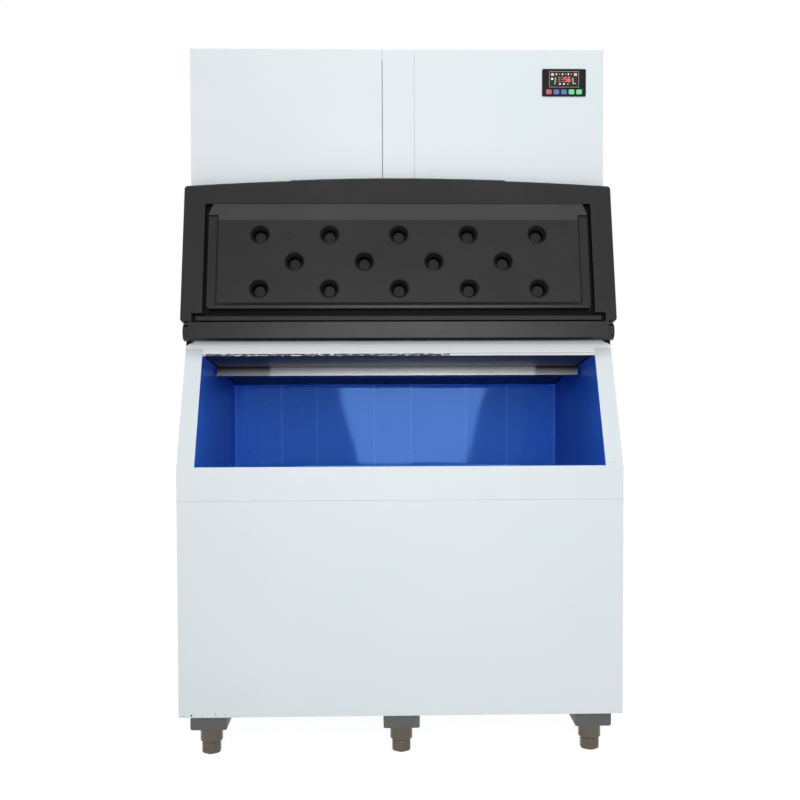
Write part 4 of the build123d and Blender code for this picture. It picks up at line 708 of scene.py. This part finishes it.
def digit(u, v, shown, width=6.2, height=12.4, bar=2.0):
    """The lit bars of a seven-segment digit centred at (u, v): a to g, as a string of letters."""
    across, down = width / 2, height / 2
    wide, tall = (WINDOW_HIGH[0] - WINDOW_LOW[0]) / MM, (WINDOW_HIGH[2] - WINDOW_LOW[2]) / MM
    places = {
        "a": (0, -down, width, bar), "d": (0, down, width, bar), "g": (0, 0, width, bar),
        "b": (across, -down / 2, bar, down), "c": (across, down / 2, bar, down),
        "f": (-across, -down / 2, bar, down), "e": (-across, down / 2, bar, down),
    }
    return [(u + places[k][0] / wide, v + places[k][1] / tall, *places[k][2:], 0) for k in shown]


def lit(name, low, high, strength):
    """A lit symbol: its own colour again as a faint, uneven glow."""
    made = plastic(name, low, high, 0.4, 800.0, 0.02 * MM, Emission_Strength=strength)
    made.feed(Emission_Color=made.base)
    return made


# Strength of the glow, two near colours, and the slabs as rows for the function above
SYMBOLS = {
    "display_salmon": (0.22, colour(0.75, 0.36, 0.27), colour(0.85, 0.45, 0.34), [
        (0.113, 0.205, 9.0, 8.0, 0), (0.885, 0.205, 9.0, 8.0, 0)]),
    "display_bright_marks": (0.3, colour(0.62, 0.70, 0.50), colour(0.75, 0.82, 0.62), [
        (0.244, 0.185, 3.6, 5.2, 0.3), (0.446, 0.185, 3.6, 5.2, 0.3), (0.645, 0.185, 3.8, 5.2, 0.3),
        (0.365, 0.79, 5.0, 4.6, 0.6), (0.497, 0.79, 5.0, 4.6, 0.6), (0.85, 0.755, 9.0, 1.6, 0)]),
    "display_dim_marks": (0.2, colour(0.22, 0.21, 0.19), colour(0.30, 0.29, 0.27), [
        (0.344, 0.185, 3.2, 4.6, 0.3), (0.545, 0.185, 3.2, 4.6, 0.3), (0.746, 0.185, 3.0, 4.6, 0.3),
        (0.631, 0.79, 5.0, 4.4, 0.6)]),
    "display_blue_dot": (1.0, colour(0.50, 0.65, 0.85), colour(0.65, 0.78, 0.95), [
        (0.099, 0.473, 5.2, 5.2, 0)]),
    "display_green_bars": (0.2, colour(0.20, 0.34, 0.17), colour(0.28, 0.45, 0.22), [
        (0.205, 0.60, 4.2, 20.0, 1.6), (0.80, 0.60, 4.2, 19.0, -2.4)]),
    "display_digits_dim": (0.3, colour(0.33, 0.10, 0.11), colour(0.45, 0.16, 0.17), [
        *digit(0.327, 0.51, "abcdg"), *digit(0.449, 0.51, "abgcd")]),
    "display_digits_lit": (0.7, colour(0.72, 0.12, 0.15), colour(0.90, 0.22, 0.25), [
        *digit(0.564, 0.51, "afgcd"), *digit(0.673, 0.51, "afgecd")]),
    "display_frame": (0.0, colour(0.36, 0.36, 0.34), colour(0.44, 0.44, 0.42), [
        (0.5, 0.014, 88.4, 1.0, 0), (0.5, 0.986, 88.4, 1.0, 0), (0.006, 0.5, 1.0, 47.4, 0),
        (0.994, 0.5, 1.0, 47.4, 0)]),
}
for name, (strength, low_tone, high_tone, rows) in SYMBOLS.items():
    piece_from(name, slabs(rows), lit(name + "_glow", low_tone, high_tone, strength), "cabinet")

# %% [markdown]
# ## Louvres
# The right side of the head breathes through pressed louvres. The slots are cut in the CAD sheet, and
# the eye expects the hood that the press leaves over each one. A hood is a strip that leaves the
# sheet at the slot's upper edge and stands out as a quarter round, fading to nothing at both ends.

# %% Louvre hoods
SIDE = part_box("head_right_side_panel")[1].x
HEAD_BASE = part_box("head_right_side_panel")[0].z
LOUVRE_LENGTH, LOUVRE_PITCH, LOUVRE_COUNT, LOUVRE_HEIGHT = 0.190, 0.022, 12, 0.008
LOUVRE_MIDDLES, FIRST_LOUVRE = (-0.001, 0.239), HEAD_BASE + 0.0897
HOOD_REACH, HOOD_WALL, HOOD_OVERLAP, HOOD_FADE = 5.5 * MM, 1.0 * MM, 1.5 * MM, 8
HOOD_COLUMNS, HOOD_ROWS = 41, 9


def hood_surface(y_middle, z_low):
    """Reach out = hood reach, times sine down the hood, times (1 - s^8) along it; s runs -1 to 1."""
    along = np.linspace(-1.0, 1.0, HOOD_COLUMNS)[None, :]
    down = np.linspace(0.0, 1.0, HOOD_ROWS)[:, None]
    fade = 1 - along ** HOOD_FADE
    profile = np.sin(down * np.pi / 2) * fade
    outer = np.stack([
        SIDE + HOOD_REACH * profile,
        y_middle + along * LOUVRE_LENGTH / 2 + 0 * down,
        z_low + LOUVRE_HEIGHT + HOOD_OVERLAP - LOUVRE_HEIGHT * down + 0 * along,
    ], axis=-1)
    inner = outer[::-1] - np.array([HOOD_WALL, 0.0, 0.0])
    return np.concatenate([outer, inner, outer[:1]])


hoods = [
    hood_surface(y_middle, FIRST_LOUVRE + row * LOUVRE_PITCH)
    for y_middle in LOUVRE_MIDDLES for row in range(LOUVRE_COUNT)
]
piece_from("louvre_hoods", hoods, sheet_film, "cabinet", closed=False, sharp=50.0)

# %% [markdown]
# ## Screws on the back
# The back panels hang on pan-head screws with a cross recess. The head is a height above a disc: a
# dome, minus a cross whose two arms are the places where one of two axes is near zero. A fine grid
# in the middle gives the cross its walls.

# %% Screws
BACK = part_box("back_panel_screws")[0].y
PAN_RADIUS, PAN_HEIGHT, PAN_FALL, PAN_POWER = 4.5 * MM, 2.0 * MM, 0.45, 2.5
ARM_HALF, ARM_LENGTH, ARM_DEPTH, ARM_TAPER = 0.6 * MM, 2.4 * MM, 1.1 * MM, 0.3
PAN_COLUMNS, CROSS_RINGS, OUTER_RINGS = 48, np.linspace(0, 0.7, 15), (0.8, 0.9, 0.97, 1.0, 1.0, 0.0)
LOWEST_HEAD_ROW, HIGHEST_BIN_ROW = 1.167, 1.127
screw_low, screw_high = [np.array(corner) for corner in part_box("back_panel_screws")]
SCREW_X = screw_high[0] - PAN_RADIUS
HEAD_ROWS = np.linspace(LOWEST_HEAD_ROW, screw_high[2] - PAN_RADIUS, 5)
BIN_ROWS = np.linspace(screw_low[2] + PAN_RADIUS, HIGHEST_BIN_ROW, 3)
SCREW_PLACES = [(x, z) for x in (-SCREW_X, SCREW_X) for z in HEAD_ROWS]
SCREW_PLACES += [(x, z) for x in (-SCREW_X, 0.0, SCREW_X) for z in BIN_ROWS]


def screw_surface(x, z, turn):
    """Polar grid: height = dome - cross recess; the last rows drop to the sheet and close the back."""
    radius = np.concatenate([CROSS_RINGS, OUTER_RINGS])[:, None]
    angle = np.linspace(0.0, 2 * np.pi, PAN_COLUMNS, endpoint=False)[None, :]
    across, upward = radius * np.cos(angle), radius * np.sin(angle)
    dome = PAN_HEIGHT * (1 - PAN_FALL * radius ** PAN_POWER)
    near = np.minimum(np.abs(across), np.abs(upward))
    far = np.maximum(np.abs(across), np.abs(upward))
    recess = ARM_DEPTH * (near * PAN_RADIUS < ARM_HALF) * (far * PAN_RADIUS < ARM_LENGTH)
    height = dome - recess * (1 - far * PAN_RADIUS / ARM_LENGTH * ARM_TAPER)
    height[-2:] = 0.0
    cosine, sine = np.cos(turn), np.sin(turn)
    return np.stack([
        x + PAN_RADIUS * (across * cosine - upward * sine),
        BACK + height,
        z + PAN_RADIUS * (across * sine + upward * cosine),
    ], axis=-1)


random_turns = np.random.default_rng(7).uniform(0, np.pi / 2, len(SCREW_PLACES))
screw_grids = [screw_surface(x, z, turn) for (x, z), turn in zip(SCREW_PLACES, random_turns)]
screws = piece_from("cross_head_screws", screw_grids, bright_steel, "cabinet")
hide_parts("back_panel_screws")

# %% [markdown]
# ## Small holes in the lid
# Two pinholes show in the raised panel of the lid, where air was let into the moulding. Each is a
# disc coloured near black on the panel's face, painted shade for the inside of the hole. It is placed
# by its distance up the lid and out of it, and it rides on the lid.

# %% Lid pinholes
PINHOLES, PIN_RADIUS, PIN_COLUMNS, FACE_OUT = ((-0.315, 0.282), (0.311, 0.101)), 2.2 * MM, 32, 45 * MM
# Share of the radius and height out of the face in mm
PIN_ROWS = ((0, -0.05), (0.55, -0.05), (0.75, 0.12), (1.0, 0.10), (1.0, -0.3), (0.0, -0.3))


def pinhole_surface(x, up_lid):
    """A shallow button: rows shrink a circle from the face, with a sunk middle."""
    angle = np.linspace(0.0, 2 * np.pi, PIN_COLUMNS, endpoint=False)[None, :]
    part, out = np.array(PIN_ROWS).T[..., None]
    centre = HINGE + np.array([x, 0.0, 0.0]) + LID_UP * up_lid + LID_OUT * FACE_OUT
    sideways = (PIN_RADIUS * part * np.cos(angle))[..., None] * np.array([1.0, 0.0, 0.0])
    upward = (PIN_RADIUS * part * np.sin(angle))[..., None] * LID_UP
    return centre + sideways + upward + (out * MM)[..., None] * LID_OUT


# Painted shade: the discs are coloured near black for the dark inside of each hole.
pinhole_painted_shade = plastic(
    "pinhole_painted_shade", colour(0.001, 0.001, 0.001), colour(0.002, 0.002, 0.002), 0.7, 900.0, 0.05 * MM,
    Specular_IOR_Level=0.05,
)
holes = [pinhole_surface(x, up_lid) for x, up_lid in PINHOLES]
piece_from("lid_pinholes", holes, pinhole_painted_shade, "lid")

# %% [markdown]
# ## Light, floor and background
# The machine was lit by a large softbox in front of it, which the glossy tub shows as a trapezoid, and
# by white surroundings. The softbox is a mesh that gives light but isn't seen by the camera. The
# world is white to the camera and in reflections, and dimmer as light on matt surfaces. A strip lamp
# overhead catches the lid's upper bevel, and a low one in front lifts the feet. The floor carries the
# contact shadow and goes white to the camera by adding a little emission.

# %% Softbox
SOFTBOX_Y, SOFTBOX_RADIANCE = -3.45, 6.2
SOFTBOX = ((-0.114, 0.523, 0.900), (-0.348, 0.734, 1.367), (-0.865, 1.201, 2.4))


def emitter(name, corners, radiance):
    """Quads between rows (left, right, height) that glow on both sides, unseen by the camera."""
    mesh = bpy.data.meshes.new(name)
    rows = np.array([[(x0, SOFTBOX_Y, z), (x1, SOFTBOX_Y, z)] for x0, x1, z in corners])
    mesh.from_pydata(rows.reshape(-1, 3).tolist(), [], grid_faces(len(corners), 2, False).tolist())
    glow = bpy.data.materials.new(name)
    glow.use_nodes = True
    glow.node_tree.nodes.clear()
    light = glow.node_tree.nodes.new("ShaderNodeEmission")
    light.inputs["Strength"].default_value = radiance
    output = glow.node_tree.nodes.new("ShaderNodeOutputMaterial")
    glow.node_tree.links.new(light.outputs[0], output.inputs[0])
    mesh.materials.append(glow)
    lamp = bpy.data.objects.new(name, mesh)
    bpy.context.scene.collection.objects.link(lamp)
    lamp.visible_camera = False
    lamp.visible_shadow = False


emitter("softbox", SOFTBOX, SOFTBOX_RADIANCE)
print("softbox at", SOFTBOX_Y, "with radiance", SOFTBOX_RADIANCE)

# %% World
AMBIENT = 0.50
world = bpy.data.worlds.new("white_room")
bpy.context.scene.world = world
world.use_nodes = True
world_nodes, world_links = world.node_tree.nodes, world.node_tree.links
sky = world_nodes["Background"]
path = world_nodes.new("ShaderNodeLightPath")
seen = world_nodes.new("ShaderNodeMath")
seen.operation = "MAXIMUM"
seen_through = world_nodes.new("ShaderNodeMath")
seen_through.operation = "MAXIMUM"
world_links.new(path.outputs["Is Camera Ray"], seen.inputs[0])
world_links.new(path.outputs["Is Glossy Ray"], seen.inputs[1])
world_links.new(seen.outputs[0], seen_through.inputs[0])
world_links.new(path.outputs["Is Transmission Ray"], seen_through.inputs[1])
level = world_nodes.new("ShaderNodeMapRange")
level.inputs["To Min"].default_value = AMBIENT
world_links.new(seen_through.outputs[0], level.inputs["Value"])
world_links.new(level.outputs[0], sky.inputs["Strength"])
sky.inputs["Color"].default_value = (1.0, 1.0, 1.0, 1.0)
print("ambient", AMBIENT)

# %% Lamps
# Place, tilt from straight down in degrees, width and height, and watts
LAMPS = {
    "overhead": ((0.2, -1.5, 3.5), 32.0, (2.8, 0.6), 14.0),
    "low_fill": ((0.1, -3.3, 0.35), 90.0, (2.0, 0.5), 9.0),
}
for name, (place, tilt, (width, height), power) in LAMPS.items():
    lamp = bpy.data.objects.new(name, bpy.data.lights.new(name, "AREA"))
    lamp.data.shape = "RECTANGLE"
    lamp.data.size, lamp.data.size_y, lamp.data.energy = width, height, power
    lamp.location = place
    lamp.rotation_euler = (np.radians(tilt), 0.0, 0.0)
    bpy.context.scene.collection.objects.link(lamp)
print("lamps", list(LAMPS))

# %% Floor
FLOOR_SIZE, FLOOR_TONE, FLOOR_LIFT = 30.0, 0.30, 0.88
FLOOR_PALE, SEEN_GREY, LIFT = [colour(tone, tone, tone) for tone in (0.8, FLOOR_TONE, FLOOR_LIFT)]
floor_mesh = bpy.data.meshes.new("floor")
half = FLOOR_SIZE / 2
floor_corners = [(-half, -half, 0.0), (half, -half, 0.0), (half, half, 0.0), (-half, half, 0.0)]
floor_mesh.from_pydata(floor_corners, [], [(0, 1, 2, 3)])
floor = bpy.data.objects.new("floor", floor_mesh)
bpy.context.scene.collection.objects.link(floor)
pale = Finish("pale_floor", Roughness=0.9, Specular_IOR_Level=0.0, Emission_Strength=1.0)
sight = pale.node("ShaderNodeLightPath", output="Is Camera Ray")
mirrored = pale.node("ShaderNodeLightPath", output="Is Glossy Ray")
refracted = pale.node("ShaderNodeLightPath", output="Is Transmission Ray")
shown = sight.maths("MAXIMUM", mirrored).maths("MAXIMUM", refracted)
pale.feed(
    Base_Color=pale.mixed(FLOOR_PALE, SEEN_GREY, shown),
    Emission_Color=pale.mixed(colour(0, 0, 0), LIFT, shown),
)
floor_mesh.materials.append(pale.material)

# %% [markdown]
# ## Colour management
# The view transform is Standard, so a colour comes out about as it is written.

# %% Finish
bpy.context.scene.view_settings.view_transform = "Standard"
